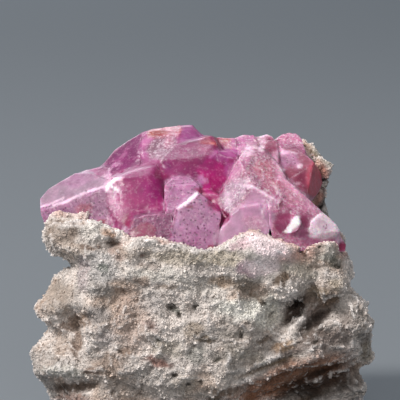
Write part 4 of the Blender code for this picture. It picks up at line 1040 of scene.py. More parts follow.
@dataclass(frozen=True)
class PinkCalcite:
    """Cobalt-bearing calcite, as it grew, was cleaved and was etched.

    The cobalt gives the magenta. Clean faces are windows that glow from a little way inside,
    etched faces look frosted and dotted with dark pinholes, and broken ones glitter like sugar.
    """

    name: str = "pink_cobaltoan_calcite"
    refraction: float = 1.6
    gloss: float = 0.22
    clearest: float = 0.22
    roughness: Range = (0.0, 1.0, 0.34, 0.65)
    glow_share: float = 0.80
    glow_depth_mm: float = 1.6
    glow_reach: Triple = (1.0, 0.35, 0.65)
    # A detail here is a noise's detail and roughness, and a range is from what to what.
    # Clouds inside the crystal: growth zones a millimetre or two wide.
    cloud_mm: float = 1.6
    cloud_detail: tuple[float, float] = (4.0, 0.6)
    cloud_range: Range = (0.35, 0.68, 0.75, 1.12)
    # Healed cracks, which show as milky veins.
    vein_mm: float = 0.7
    vein_detail: tuple[float, float] = (5.0, 0.7)
    vein_height: float = 0.5
    milk_range: Range = (0.50, 0.72, 0.0, 0.26)
    milk_colour: str = "#dcbccd"
    # Etch pits, which show as dark dots on frosted faces. A bend is its size and its reach, as
    # shares of a pinhole.
    pinhole_mm: float = 0.50
    pinhole_bend: tuple[float, float] = (0.4, 0.5)
    pinhole_range: Range = (0.20, 0.38, 1.0, 0.0)
    pinholes_missing: float = 0.28
    pinhole_share: float = 0.85
    pinhole_colour: str = "#6f4a64"
    # Cleavage chips, gathered in drifts, and dust on every face: how rare it is and how pale.
    chip_mm: float = 0.27
    chip_tilt: float = 0.40
    chip_range: Range = (0.30, 1.0, 0.0, 0.56)
    drift_range: Range = (0.40, 0.58, 0.15, 1.0)
    frost_chips: float = 0.18
    dust: tuple[float, float] = (0.95, 0.09)
    fleck_colour: str = "#f3e3ec"
    # Real etching is finer than this grain, which is as coarse as it needs to be to show.
    frost_grain_mm: float = 0.16
    relief_mm: float = 0.06
    relief_share: float = 0.9
    # Pale edge colour: partly wear, partly a painted highlight.
    edge_wear_and_glint_colour: str = "#f1dfe9"

    def build(self) -> bpy.types.Material:
        """Makes the material: tint, skin and edge come from the piece's own attributes.

        Returns:
            The material.
        """
        material, tree = new_material(self.name)
        skin = add_node(tree, "ShaderNodeAttribute", attribute_name="skin").outputs["Color"]
        split = add_node(tree, "ShaderNodeSeparateColor", {"Color": skin}).outputs
        clear, frost, sugar = split["Red"], split["Green"], split["Blue"]
        place = add_node(tree, "ShaderNodeTexCoord").outputs["Object"]
        veins = add_node(tree, "ShaderNodeTexNoise", {
            "Vector": place, "Scale": 1 / (self.vein_mm * MM), "Detail": self.vein_detail[0],
            "Roughness": self.vein_detail[1]}).outputs["Fac"]
        chips = add_node(tree, "ShaderNodeTexVoronoi", {
            "Vector": place, "Scale": 1 / (self.chip_mm * MM), "Randomness": 1.0},
            distance="MANHATTAN").outputs["Color"]
        coarse = add_node(tree, "ShaderNodeMath", {0: frost, 1: self.frost_chips, 2: sugar},
                          operation="MULTIPLY_ADD").outputs[0]
        holes = self.pinholes(tree, place, frost)
        colour = self.colour(tree, place, veins, holes, self.flecks(tree, veins, chips, coarse))
        rough = add_node(tree, "ShaderNodeMapRange", {
            "Value": frost, **dict(zip(RANGE, self.roughness))}).outputs[0]
        see = add_node(tree, "ShaderNodeMath", {0: clear, 1: self.clearest},
                       operation="MULTIPLY").outputs[0]
        shader = add_node(tree, "ShaderNodeBsdfPrincipled", {
            "Base Color": colour, "Roughness": rough, "Transmission Weight": see,
            "Normal": self.facets(tree, place, veins, chips, holes, coarse),
            "IOR": self.refraction, "Specular IOR Level": self.gloss,
            "Subsurface Weight": self.glow_share, "Subsurface Scale": self.glow_depth_mm * MM,
            "Subsurface Radius": self.glow_reach})
        add_node(tree, "ShaderNodeOutputMaterial", {"Surface": shader.outputs[0]})
        return material

    def pinholes(self, tree: Tree, place: Socket, frost: Socket) -> Socket:
        """Finds the etch pits: small bent spots, on frosted faces alone.

        Args:
            tree: The material's tree.
            place: Where the surface is.
            frost: How frosted it is.

        Returns:
            The socket with 1 in a pit and 0 beside it.
        """
        size, reach = (share * self.pinhole_mm * MM for share in self.pinhole_bend)
        stray = add_node(tree, "ShaderNodeTexNoise", {"Vector": place, "Scale": 1 / size})
        bent = add_node(tree, "ShaderNodeVectorMath", {
            0: stray.outputs["Color"], 1: (reach,) * 3, 2: place}, operation="MULTIPLY_ADD")
        holes = add_node(tree, "ShaderNodeTexVoronoi", {
            "Vector": bent.outputs[0], "Scale": 1 / (self.pinhole_mm * MM), "Randomness": 1.0})
        inside = add_node(tree, "ShaderNodeMapRange", {
            "Value": holes.outputs["Distance"], **dict(zip(RANGE, self.pinhole_range))})
        pick = add_node(tree, "ShaderNodeSeparateColor", {"Color": holes.outputs["Color"]})
        found = add_node(tree, "ShaderNodeMath", {0: pick.outputs[0], 1: self.pinholes_missing},
                         operation="GREATER_THAN").outputs[0]
        for share in (inside.outputs[0], frost):
            found = add_node(tree, "ShaderNodeMath", {0: found, 1: share},
                             operation="MULTIPLY").outputs[0]
        return found

    def flecks(self, tree: Tree, veins: Socket, chips: Socket, coarse: Socket) -> Socket:
        """Finds the pale chips: in drifts on coarse faces, and as rare dust on every face.

        Args:
            tree: The material's tree.
            veins: The vein pattern, which the drifts follow.
            chips: A random colour for each chip.
            coarse: How broken the surface is.

        Returns:
            The socket with how much of a place is fleck.
        """
        picks = add_node(tree, "ShaderNodeSeparateColor", {"Color": chips}).outputs
        paleness, drift = (
            add_node(tree, "ShaderNodeMapRange", {
                "Value": value, **dict(zip(RANGE, given))}).outputs[0]
            for value, given in ((picks[1], self.chip_range), (veins, self.drift_range)))
        gathered = add_node(tree, "ShaderNodeMath", {0: paleness, 1: drift},
                            operation="MULTIPLY")
        rare = add_node(tree, "ShaderNodeMath", {0: picks[2], 1: self.dust[0]},
                        operation="GREATER_THAN")
        dusty = add_node(tree, "ShaderNodeMath", {0: rare.outputs[0], 1: self.dust[1]},
                         operation="MULTIPLY")
        return add_node(tree, "ShaderNodeMath", {
            0: gathered.outputs[0], 1: coarse, 2: dusty.outputs[0]},
            operation="MULTIPLY_ADD", use_clamp=True).outputs[0]

    def colour(self, tree: Tree, place: Socket, veins: Socket, holes: Socket,
               flecks: Socket) -> Socket:
        """Lays milk, pinholes, flecks and pale edges over the clouded tint; the pale edges are
        partly wear and partly a painted highlight.

        Args:
            tree: The material's tree.
            place: Where the surface is.
            veins: The vein pattern.
            holes: 1 in an etch pit.
            flecks: How much of a place is fleck.

        Returns:
            The colour's socket.
        """
        tint = add_node(tree, "ShaderNodeAttribute", attribute_name="tint").outputs["Color"]
        edge = add_node(tree, "ShaderNodeAttribute", attribute_name="edge").outputs["Fac"]
        clouds = add_node(tree, "ShaderNodeTexNoise", {
            "Vector": place, "Scale": 1 / (self.cloud_mm * MM), "Detail": self.cloud_detail[0],
            "Roughness": self.cloud_detail[1]}).outputs["Fac"]
        deep, milk = (
            add_node(tree, "ShaderNodeMapRange", {
                "Value": value, **dict(zip(RANGE, given))}).outputs[0]
            for value, given in ((clouds, self.cloud_range), (veins, self.milk_range)))
        pitted = add_node(tree, "ShaderNodeMath", {0: holes, 1: self.pinhole_share},
                          operation="MULTIPLY").outputs[0]
        colour = add_node(tree, "ShaderNodeVectorMath", {0: tint, "Scale": deep},
                          operation="SCALE").outputs[0]
        for share, over in ((milk, self.milk_colour), (pitted, self.pinhole_colour),
                            (flecks, self.fleck_colour), (edge, self.edge_wear_and_glint_colour)):
            colour = add_node(tree, "ShaderNodeMix", {
                0: share, 6: colour, 7: tuple(linear(over))}, data_type="RGBA").outputs[2]
        return colour

    def facets(self, tree: Tree, place: Socket, veins: Socket, chips: Socket, holes: Socket,
               coarse: Socket) -> Socket:
        """Leans each chip its own way and gives the surface its finest relief.

        Args:
            tree: The material's tree.
            place: Where the surface is.
            veins: The vein pattern.
            chips: A random colour for each chip.
            holes: 1 in an etch pit.
            coarse: How broken the surface is.

        Returns:
            The normal's socket.
        """
        etch = add_node(tree, "ShaderNodeTexNoise", {
            "Vector": place, "Scale": 1 / (self.frost_grain_mm * MM)}).outputs["Fac"]
        height = add_node(tree, "ShaderNodeMath", {0: etch, 1: coarse},
                          operation="MULTIPLY").outputs[0]
        for value, share in ((holes, -1.0), (veins, self.vein_height)):
            height = add_node(tree, "ShaderNodeMath", {0: value, 1: share, 2: height},
                              operation="MULTIPLY_ADD").outputs[0]
        lean = add_node(tree, "ShaderNodeVectorMath", {0: chips, 1: (0.5, 0.5, 0.5)},
                        operation="SUBTRACT").outputs[0]
        tilt = add_node(tree, "ShaderNodeMath", {0: coarse, 1: self.chip_tilt},
                        operation="MULTIPLY").outputs[0]
        leaning = add_node(tree, "ShaderNodeVectorMath", {0: lean, "Scale": tilt},
                           operation="SCALE").outputs[0]
        level = add_node(tree, "ShaderNodeNewGeometry").outputs["Normal"]
        tilted = add_node(tree, "ShaderNodeVectorMath", {0: level, 1: leaning},
                          operation="ADD").outputs[0]
        facet = add_node(tree, "ShaderNodeVectorMath", {0: tilted}, operation="NORMALIZE")
        return add_node(tree, "ShaderNodeBump", {
            "Height": height, "Distance": self.relief_mm * MM, "Strength": self.relief_share,
            "Normal": facet.outputs[0]}).outputs[0]


@dataclass(frozen=True)
class SugaryMatrix:
    """Fine-grained carbonate rock, broken.

    Its grains are pale and glassy in a matt, dusty break, so it looks like dirty sugar: salt and
    pepper from close by, and blotched pale grey and tan from a step away.
    """

    name: str = "granular_carbonate_matrix"
    grain_mm: float = 0.22
    grain_range: Range = (0.0, 1.0, 0.72, 1.24)
    blotch_mm: float = 2.2
    blotch_detail: tuple[float, float] = (5.0, 0.65)
    blotch_range: Range = (0.35, 0.65, 0.84, 1.12)
    loose_range: Range = (-1.0, 1.0, 0.78, 1.18)
    speck_mm: float = 0.40
    speck_detail: tuple[float, float] = (3.0, 0.7)
    pepper_range: Range = (0.56, 0.72, 0.0, 0.50)
    pepper_colour: str = "#3c3a35"
    salt_range: Range = (0.46, 0.28, 0.0, 0.50)
    salt_colour: str = "#e6e2d8"
    relief_mm: float = 0.12
    relief_share: float = 0.9
    roughness: float = 0.82
    gloss: float = 0.35

    def build(self) -> bpy.types.Material:
        """Makes the material: tint and grain come from the piece's own attributes.

        Returns:
            The material.
        """
        material, tree = new_material(self.name)
        tint = add_node(tree, "ShaderNodeAttribute", attribute_name="tint").outputs["Color"]
        own = add_node(tree, "ShaderNodeAttribute", attribute_name="grain").outputs["Fac"]
        place = add_node(tree, "ShaderNodeTexCoord").outputs["Object"]
        grains = add_node(tree, "ShaderNodeTexVoronoi", {
            "Vector": place, "Scale": 1 / (self.grain_mm * MM), "Randomness": 1.0}).outputs
        picks = add_node(tree, "ShaderNodeSeparateColor", {"Color": grains["Color"]}).outputs
        blotch, specks = (
            add_node(tree, "ShaderNodeTexNoise", {
                "Vector": place, "Scale": 1 / (size * MM), "Detail": detail,
                "Roughness": rough}).outputs["Fac"]
            for size, (detail, rough) in ((self.blotch_mm, self.blotch_detail),
                                          (self.speck_mm, self.speck_detail)))
        grain, patchy, loose, pepper, salt = (
            add_node(tree, "ShaderNodeMapRange", {
                "Value": value, **dict(zip(RANGE, given))}).outputs[0]
            for value, given in ((picks[0], self.grain_range), (blotch, self.blotch_range),
                                 (own, self.loose_range), (specks, self.pepper_range),
                                 (specks, self.salt_range)))
        colour = tint
        for share in (grain, patchy, loose):
            colour = add_node(tree, "ShaderNodeVectorMath", {0: colour, "Scale": share},
                              operation="SCALE").outputs[0]
        pale = add_node(tree, "ShaderNodeSeparateColor", {"Color": tint}).outputs[1]
        salted = add_node(tree, "ShaderNodeMath", {0: salt, 1: pale},
                          operation="MULTIPLY").outputs[0]
        for share, over in ((pepper, self.pepper_colour), (salted, self.salt_colour)):
            colour = add_node(tree, "ShaderNodeMix", {
                0: share, 6: colour, 7: tuple(linear(over))}, data_type="RGBA").outputs[2]
        height = add_node(tree, "ShaderNodeMath", {0: grains["Distance"], 1: -1.0, 2: specks},
                          operation="MULTIPLY_ADD")
        bump = add_node(tree, "ShaderNodeBump", {
            "Height": height.outputs[0], "Distance": self.relief_mm * MM,
            "Strength": self.relief_share})
        shader = add_node(tree, "ShaderNodeBsdfPrincipled", {
            "Base Color": colour, "Roughness": self.roughness, "Normal": bump.outputs[0],
            "Specular IOR Level": self.gloss})
        add_node(tree, "ShaderNodeOutputMaterial", {"Surface": shader.outputs[0]})
        return material


@dataclass
class CrystalCluster:
    """The crystals, grown together: the CAD solid with its faces etched, chipped and coloured."""

    cell_mm: float = 0.28
    flat_angle: float = 0.01
    edge_angle: float = 22.0
    edge_round_mm: float = 0.04
    healed_rounds: int = 120
    soft_rounds: int = 42
    soft_from_clear: tuple[float, float] = (0.45, 0.85)
    soft_until_mm: tuple[float, float] = (6.5, 8.5)
    front: tuple[float, float] = (-0.15, 0.12)
    side_tint: str = "#b987a3"
    side_look: Look = Look(0.3, 0.3, 0.3)
    # A pattern's numbers are its size in mm and its seed, and for chips also how deep it goes.
    speckle: tuple[float, int] = (2.6, 21)
    speckle_span: tuple[float, float] = (0.0, 0.5)
    speckle_look: Look = Look(0.1, 0.6, 0.6)
    gain: Triple = (0.91, 0.635, 0.835)
    sugar_relief_mm: float = 0.17
    sugar_grain: tuple[float, int] = (0.75, 31)
    frost_relief_mm: float = 0.05
    frost_grain: tuple[float, int] = (0.5, 32)
    chips: tuple[float, int, float] = (0.9, 33, 0.45)
    # Pale outward edges: partly wear, partly a painted highlight, fainter on faces turned from the
    # eye.
    edge_wear_and_glint_span: tuple[float, float] = (0.2, 0.9)
    edge_wear_and_glint_behind: float = 0.35
    edge_wear_and_glint_share: float = 0.30
    made: bpy.types.Object | None = field(default=None, init=False)

    def build(self) -> None:
        """Makes the mesh and its colours."""
        self.made, bm = copy_of_node("crystal_cluster", "calcite_crystals")
        bmesh.ops.dissolve_limit(bm, angle_limit=self.flat_angle, verts=bm.verts,
                                 edges=bm.edges)
        self.slice(bm)
        edge = self.sharp_edge_share(bm)
        finish_mesh(self.made, bm)
        self.made.data.shade_smooth()
        self.dress(edge)
        self.made.data.set_sharp_from_angle(angle=math.radians(self.edge_angle))

    def slice(self, bm: bmesh.types.BMesh) -> None:
        """Cuts every face into small cells, so that it can carry relief and colour.

        Args:
            bm: The mesh that is cut.
        """
        low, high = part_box("crystal_cluster")
        step = self.cell_mm * MM
        for axis in range(3):
            normal = Vector((0, 0, 0))
            normal[axis] = 1
            place = low[axis] + step / 2
            while place < high[axis]:
                bmesh.ops.bisect_plane(bm, geom=bm.verts[:] + bm.edges[:] + bm.faces[:],
                                       plane_co=normal * place, plane_no=normal, dist=SAME_CUT)
                place += step

    def sharp_edge_share(self, bm: bmesh.types.BMesh) -> np.ndarray:
        """Finds the corners that lie on the crystals' outward edges.

        Args:
            bm: The sliced mesh.

        Returns:
            1 for such a corner and 0 for the others.
        """
        bm.verts.index_update()
        share = np.zeros(len(bm.verts))
        limit = math.radians(self.edge_angle)
        for edge in bm.edges:
            if len(edge.link_faces) == 2 and edge.calc_face_angle_signed(0.0) > limit:
                for vert in edge.verts:
                    share[vert.index] = 1.0
        return share

    def dress(self, edge: np.ndarray) -> None:
        """Colours the crystals, then gives their faces relief.

        Args:
            edge: 1 for each corner on an outward edge.
        """
        shell = Shell(self.made)
        shell.fill_hollows(self.healed_rounds)
        spots = VIEW.spots(shell)
        drawn, everywhere = spots.drawn, np.ones(len(spots.drawn))
        front = smooth_step(*self.front, spots.facing)
        colours = np.tile(linear(self.side_tint), (len(drawn), 1))
        skins = np.tile(self.side_look.shares(), (len(drawn), 1))
        for marks, taken in ((BODIES, everywhere), (MARKS, front)):
            colours = paint(colours, marks, spots, taken, self.gain, skins)
        soft = smooth_step(*self.soft_from_clear, skins[:, 0]) * front
        soft *= 1 - smooth_step(*self.soft_until_mm, spots.seen[:, 0])
        shell.soften(self.soft_rounds, soft)
        speckle = smooth_step(*self.speckle_span, lattice_noise(drawn, *self.speckle))
        skins += ((1 - front) * speckle)[:, None] * (self.speckle_look.shares() - skins)

        chipped = mottle(drawn, *self.chips)
        relief = -self.sugar_relief_mm * skins[:, 2] * (
            nodule_distance(drawn, *self.sugar_grain) - 0.5)
        relief += self.frost_relief_mm * skins[:, 1] * lattice_noise(drawn, *self.frost_grain)
        relief -= self.edge_round_mm * edge * chipped
        shell.move_to(shell.places() + shell.normals() * (relief * MM)[:, None])
        # Outward edges made pale: partly wear, partly a painted highlight.
        edge_wear_and_glint = edge * smooth_step(*self.edge_wear_and_glint_span, chipped) * (1 - soft)
        edge_wear_and_glint *= self.edge_wear_and_glint_behind + (1 - self.edge_wear_and_glint_behind) * front
        shell.write_colour("tint", np.clip(colours, 0, 1))
        shell.write_colour("skin", np.column_stack([skins, everywhere]))
        shell.write_value("edge", self.edge_wear_and_glint_share * edge_wear_and_glint)

    def finish(self, material: bpy.types.Material) -> None:
        """Gives the crystals their material and their place in the frame.

        Args:
            material: The crystals' material.
        """
        self.made.data.materials.clear()
        self.made.data.materials.append(material)
        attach(self.made, "root")
        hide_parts("crystal_cluster")


@dataclass(frozen=True)
class Bed:
    """Layers or fibres that show as lines across part of the front."""

    across: float
    up: float
    wide: float
    high: float
    turn: float
    line_mm: float
    length_mm: float
    relief: float
    contrast: float
    hue: Triple
    seed: int
    rim: tuple[float, float] = (0.6, 1.2)

    def stripes(self, spots: Spots) -> np.ndarray:
        """The lines' strength: above 0 on a raised, pale line and below 0 between two.

        Args:
            spots: The surface's places.

        Returns:
            A value from -1 to 1 for each place.
        """
        along, over = turned(*(spots.seen - (self.across, self.up)).T, self.turn)
        reach = 1 - smooth_step(*self.rim, np.hypot(along / self.wide, over / self.high))
        lines = np.column_stack([along / self.length_mm, over / self.line_mm,
                                 spots.drawn[:, 1] / self.length_mm])
        return reach * lattice_noise(lines, 1.0, self.seed)


# Brown layers low on the right; the pale fan's fibres; grooves beside the right-hand knobs.
BEDS = (
    Bed(12.5, 8.6, 12.5, 5.4, 22, 0.75, 6.0, 0.50, 0.95, (0.9, 1.0, 1.1), 71),
    Bed(8.6, 27.6, 5.2, 3.8, -28, 0.40, 2.6, 0.08, 0.24, (0.9, 1.0, 1.0), 72),
    Bed(15.6, 17.4, 5.6, 2.6, 50, 0.9, 5.0, 0.30, 0.50, (0.9, 1.05, 1.15), 73),
)

@dataclass(frozen=True)
class Pit:
    """A small dark hole in the front of the rock."""

    across: float
    up: float
    radius: float
    depth: float
    stretch: float = 1.0
    turn: float = 0.0
    tint: str = "#2b2822"
    stain: float = 0.85
    wander: float = 0.18

    def cover(self, spots: Spots) -> np.ndarray:
        """How much of the hole lies on each spot, from 0 to 1."""
        return Patch(self.across, self.up, self.radius * self.stretch, self.radius, self.tint,
                     1.0, self.turn, wander=self.wander).cover(spots)


# The first pares the left knob and leaves no stain.
PITS = (
    Pit(-19.8, 33.2, 1.7, 1.1, 2.4, -8, stain=0.0),
    Pit(-1.45, 19.3, 0.42, 0.7, 1.3, 20),
    Pit(-5.1, 19.25, 0.35, 0.5, 1.8, -20),
    Pit(-4.0, 18.0, 0.38, 0.6, 1.5, -60),
    Pit(-4.7, 9.0, 0.42, 0.7, 1.2, -30),
    Pit(-2.55, 7.75, 0.28, 0.4, 1.3, 10),
    Pit(-0.8, 8.1, 0.3, 0.4, 1.6, -40),
    Pit(-21.4, 11.4, 0.22, 0.4, 1.8, 60),
    Pit(-7.9, 16.2, 0.3, 0.35, 1.6, 30, "#5d4a44"),
    Pit(-6.9, 14.2, 0.25, 0.3, 1.8, 10, "#5a5a50"),
    Pit(5.3, 14.9, 0.22, 0.4, 3.0, -65),
    Pit(1.2, 20.6, 0.2, 0.3, 2.6, 40, "#5a4e44"),
    Pit(-9.2, 26.8, 0.3, 0.35, 1.4, 0, "#6a544e"),
    Pit(14.6, 26.9, 0.26, 0.35, 1.8, -25, "#4a463e"),
    Pit(16.6, 28.0, 0.2, 0.3, 1.6, 15, "#4f4a42"),
    Pit(19.5, 25.3, 0.3, 0.45, 1.6, -30, "#3b3a32"),
    Pit(16.2, 14.1, 0.28, 0.3, 2.4, 25, "#4a443c"),
    Pit(12.6, 11.6, 0.2, 0.3, 1.4, 0, "#4a443c"),
    Pit(8.6, 19.9, 0.18, 0.25, 2.6, -35, "#4f5048"),
    Pit(1.8, 11.2, 0.4, 0.35, 1.8, 25, "#55544c"),
    Pit(-12.6, 12.4, 0.24, 0.3, 2.4, -40, "#5f5046"),
)

@dataclass(frozen=True)
class Drift:
    """A slow change of the rock's colour from place to place.

    Its wide pattern and its fine one each have a size in millimetres and a seed.
    """

    tint: str
    strength: float
    span: tuple[float, float]
    wide: tuple[float, int]
    fine: tuple[float, int]
    fine_share: float = 0.5

    def cover(self, drawn: np.ndarray) -> np.ndarray:
        """How much of the drift's colour each place takes.

        Args:
            drawn: Places in the drawing's millimetres.

        Returns:
            A share from 0 to the drift's strength for each place.
        """
        course = lattice_noise(drawn, *self.wide)
        course += self.fine_share * lattice_noise(drawn, *self.fine)
        return self.strength * smooth_step(*self.span, course)


@dataclass
class MatrixRock:
    """The matrix: the CAD solid with its crumbly surface, its pits and its patches of colour."""

    # The surface. A crumb's or nodule's numbers are its size and height in mm and its seed, and
    # a warp's or mottle's are its size in mm and its seed, and then the mottle's depth.
    voxel_mm: float = 0.48
    refined_facing: float = 0.12
    crumbs: tuple[tuple[float, float, int], ...] = (
        (5.0, -0.22, 41), (2.3, -0.22, 42), (1.2, -0.20, 43), (0.7, 0.11, 44))
    crumb_shape: tuple[float, float] = (2.4, 0.6)
    nodules: tuple[tuple[float, float, int], ...] = (
        (1.9, 0.14, 50), (1.1, 0.15, 51), (0.6, 0.11, 52))
    warp: tuple[tuple[float, int], ...] = ((2.6, 45), (2.6, 46), (2.6, 47))
    warp_reach_mm: float = 0.9
    relief_front: tuple[float, float] = (-0.1, 0.2)
    smooth_areas: tuple[Patch, ...] = (
        Patch(8.8, 27.2, 5.0, 4.2, "#ffffff", 0.8), Patch(-6.0, 24.2, 6.0, 2.0, "#ffffff", 0.4),
        Patch(-21.0, 20.6, 2.8, 3.0, "#ffffff", 0.5), Patch(-20.6, 30.6, 2.6, 2.2, "#ffffff", 0.5))
    base_kept_mm: tuple[float, float] = (0.2, 1.0)
    # How the rock closes round the crystals.
    seat_from_mm: float = 24.0
    seat_gap_mm: float = 0.55
    seat_overlap_mm: float = 0.12
    calm_mm: float = 2.0
    calm_least: float = 0.15
    # Its colours. The painted crest highlights' and the darkened hollows' numbers are each a share
    # and where it starts and ends, in mm.
    colour_front: tuple[float, float] = (-0.2, 0.25)
    paleness: float = 0.10
    gain: Triple = (1.22, 1.21, 1.24)
    light_tint: str = "#dbd2cc"
    drifts: tuple[Drift, ...] = (
        Drift("#b29b8a", 0.75, (-0.05, 0.5), (6.5, 61), (2.4, 62)),
        Drift("#b3aca7", 0.7, (0.05, 0.5), (5.0, 63), (1.9, 64)))
    relief_rounds: tuple[int, int] = (6, 60)
    # Crests are made paler towards this tint: a painted highlight.
    crest_highlight_tint: str = "#ece6e3"
    bright: tuple[Triple, Triple] = ((0.55, 0.03, 0.22), (0.25, 0.1, 0.6))
    # Hollows are darkened towards this brown: partly grime, partly painted shade.
    hollow_dirt_and_shade_tint: str = "#4a382c"
    dirt_and_shade: tuple[Triple, Triple] = ((0.80, 0.04, 0.26), (0.35, 0.20, 0.9))
    dirt_and_shade_mottle: tuple[float, int, float] = (3.0, 65, 0.35)
    rim_tint: str = "#c98f80"
    rim: Triple = (0.75, 0.12, 0.60)
    rim_mottle: tuple[float, int, float] = (2.2, 66, 0.4)
    # Where loose grains lie: above the base, and least in the darkened hollows and where the rock
    # is dark.
    grit_from_mm: tuple[float, float] = (0.4, 0.9)
    grit_lost_to_dirt_and_shade: float = 0.75
    grit_by_paleness: Triple = (2.2, 0.15, 1.0)
    made: bpy.types.Object | None = field(default=None, init=False)
    closeness: np.ndarray | None = field(default=None, init=False)

    def build(self, crystals: bpy.types.Object) -> None:
        """Makes the mesh and its colours.

        Args:
            crystals: The finished crystals, which the rock closes round.
        """
        self.made, bm = copy_of_node("matrix", "carbonate_matrix")
        bm.to_mesh(self.made.data)
        bm.free()
        remesh = self.made.modifiers.new("even_cells", "REMESH")
        remesh.mode = "VOXEL"
        remesh.voxel_size = self.voxel_mm * MM
        with_modifiers(self.made)
        self.refine_front()
        self.made.data.shade_smooth()
        self.roughen(crystals)
        self.colour()

    def refine_front(self) -> None:
        """Halves the cells on the side that faces the front."""
        shell = Shell(self.made)
        bm = bmesh.new()
        bm.from_mesh(self.made.data)
        facing = VIEW.facing(VIEW.drawn(shell.places()), shell.normals())
        chosen = set()
        for face in bm.faces:
            if min(facing[vert.index] for vert in face.verts) > self.refined_facing:
                chosen.update(face.edges)
        bmesh.ops.subdivide_edges(bm, edges=list(chosen), cuts=1, use_grid_fill=True)
        finish_mesh(self.made, bm)

    def roughen(self, crystals: bpy.types.Object) -> None:
        """Gives the rock its crumbly relief and its pits, and closes it round the crystals.

        Args:
            crystals: The finished crystals.
        """
        shell = Shell(self.made)
        places, normals, spots = shell.places(), shell.normals(), VIEW.spots(shell)
        front = smooth_step(*self.relief_front, spots.facing)
        relief = self.crumbling(spots.drawn) * (1 - self.smoothness(spots))
        for pit in PITS:
            relief -= pit.depth * pit.cover(spots) * front
        relief += sum(band.relief * band.stripes(spots) for band in BEDS) * front
        tree = BVHTree.FromObject(crystals, bpy.context.evaluated_depsgraph_get())
        calm = np.ones(len(places))
        for i in np.flatnonzero(spots.drawn[:, 2] > self.seat_from_mm):
            distance = tree.find_nearest(Vector(places[i]), self.calm_mm * MM)[3]
            if distance is not None:
                share = distance / (self.calm_mm * MM)
                calm[i] = self.calm_least + (1 - self.calm_least) * share
        self.closeness = 1 - calm
        relief = np.where(relief > 0, relief * calm, relief)
        relief *= smooth_step(*self.base_kept_mm, spots.drawn[:, 2])
        moved = places + normals * (relief * MM)[:, None]
        for i in np.flatnonzero(calm < 1):
            near, direction, _, _ = tree.find_nearest(Vector(moved[i]), self.seat_gap_mm * MM)
            if near is not None:
                moved[i] = near - direction * (self.seat_overlap_mm * MM)
        moved[:, 2] = np.maximum(moved[:, 2], 0.0)
        shell.move_to(moved)

    def crumbling(self, drawn: np.ndarray) -> np.ndarray:
        """How far the crumbs and nodules stand out at each place.

        Args:
            drawn: Places in the drawing's millimetres.

        Returns:
            Millimetres, above 0 outwards.
        """
        warp = np.stack([lattice_noise(drawn, *pattern) for pattern in self.warp], axis=1)
        bent = drawn + self.warp_reach_mm * warp
        steepness, middle = self.crumb_shape
        relief = np.zeros(len(drawn))
        for size, height, seed in self.crumbs:
            relief += height * (steepness * np.abs(lattice_noise(bent, size, seed)) - middle)
        for size, height, seed in self.nodules:
            relief += height * (0.5 - nodule_distance(bent, size, seed))
        return relief

    def smoothness(self, spots: Spots) -> np.ndarray:
        """How far the crumbs and grains are held back at each spot, from 0 to 1."""
        return np.max([area.cover(spots) for area in self.smooth_areas], axis=0)

    def colour(self) -> None:
        """Colours the rock: drifts, patches, beds, painted crest highlights, grime and painted
        shade in hollows, a pink rim, pits.
        """
        shell = Shell(self.made)
        spots = VIEW.spots(shell)
        drawn, front = spots.drawn, smooth_step(*self.colour_front, spots.facing)
        colours = np.tile(linear(self.light_tint), (len(drawn), 1))
        for drift in self.drifts:
            lay(colours, drift.tint, drift.cover(drawn))
        colours = paint(colours, ROCK_MARKS, spots, front, self.gain, paleness=self.paleness)
        for band in BEDS:
            depth = (band.contrast * front * band.stripes(spots))[:, None]
            colours[:, :3] *= 1 + depth * np.array(band.hue)
        reliefs = [shell.relief(rounds) for rounds in self.relief_rounds]
        # Crests made paler where the relief stands proud: a painted highlight.
        bright = sum(share * smooth_step(low, high, relief)
                     for (share, low, high), relief in zip(self.bright, reliefs))
        lay(colours, self.crest_highlight_tint, bright)
        # Hollows made darker and browner: partly grime, partly painted shade.
        dirt_and_shade = np.max([share * smooth_step(low, high, -relief)
                       for (share, low, high), relief in zip(self.dirt_and_shade, reliefs)], axis=0)
        dirt_and_shade *= mottle(drawn, *self.dirt_and_shade_mottle)
        lay(colours, self.hollow_dirt_and_shade_tint, dirt_and_shade)
        share, low, high = self.rim
        rim = share * smooth_step(low, high, self.closeness) * front
        lay(colours, self.rim_tint, rim * mottle(drawn, *self.rim_mottle))
        for pit in PITS:
            lay(colours, pit.tint, pit.cover(spots) * front * pit.stain)
        shell.write_colour("tint", np.clip(colours, 0, 1))

        steepness, least, most = self.grit_by_paleness
        grit = smooth_step(*self.grit_from_mm, drawn[:, 2]) * (1 - self.grit_lost_to_dirt_and_shade * dirt_and_shade)
        grit *= (1 - self.smoothness(spots)) * np.clip(steepness * colours[:, 1], least, most)
        shell.write_value("grit", grit)
        shell.write_value("front_grit", grit * front)

    def finish(self, material: bpy.types.Material) -> None:
        """Gives the rock its material and its place in the frame.

        Args:
            material: The rock's material.
        """
        self.made.data.materials.clear()
        self.made.data.materials.append(material)
        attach(self.made, "root")
        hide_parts("matrix")


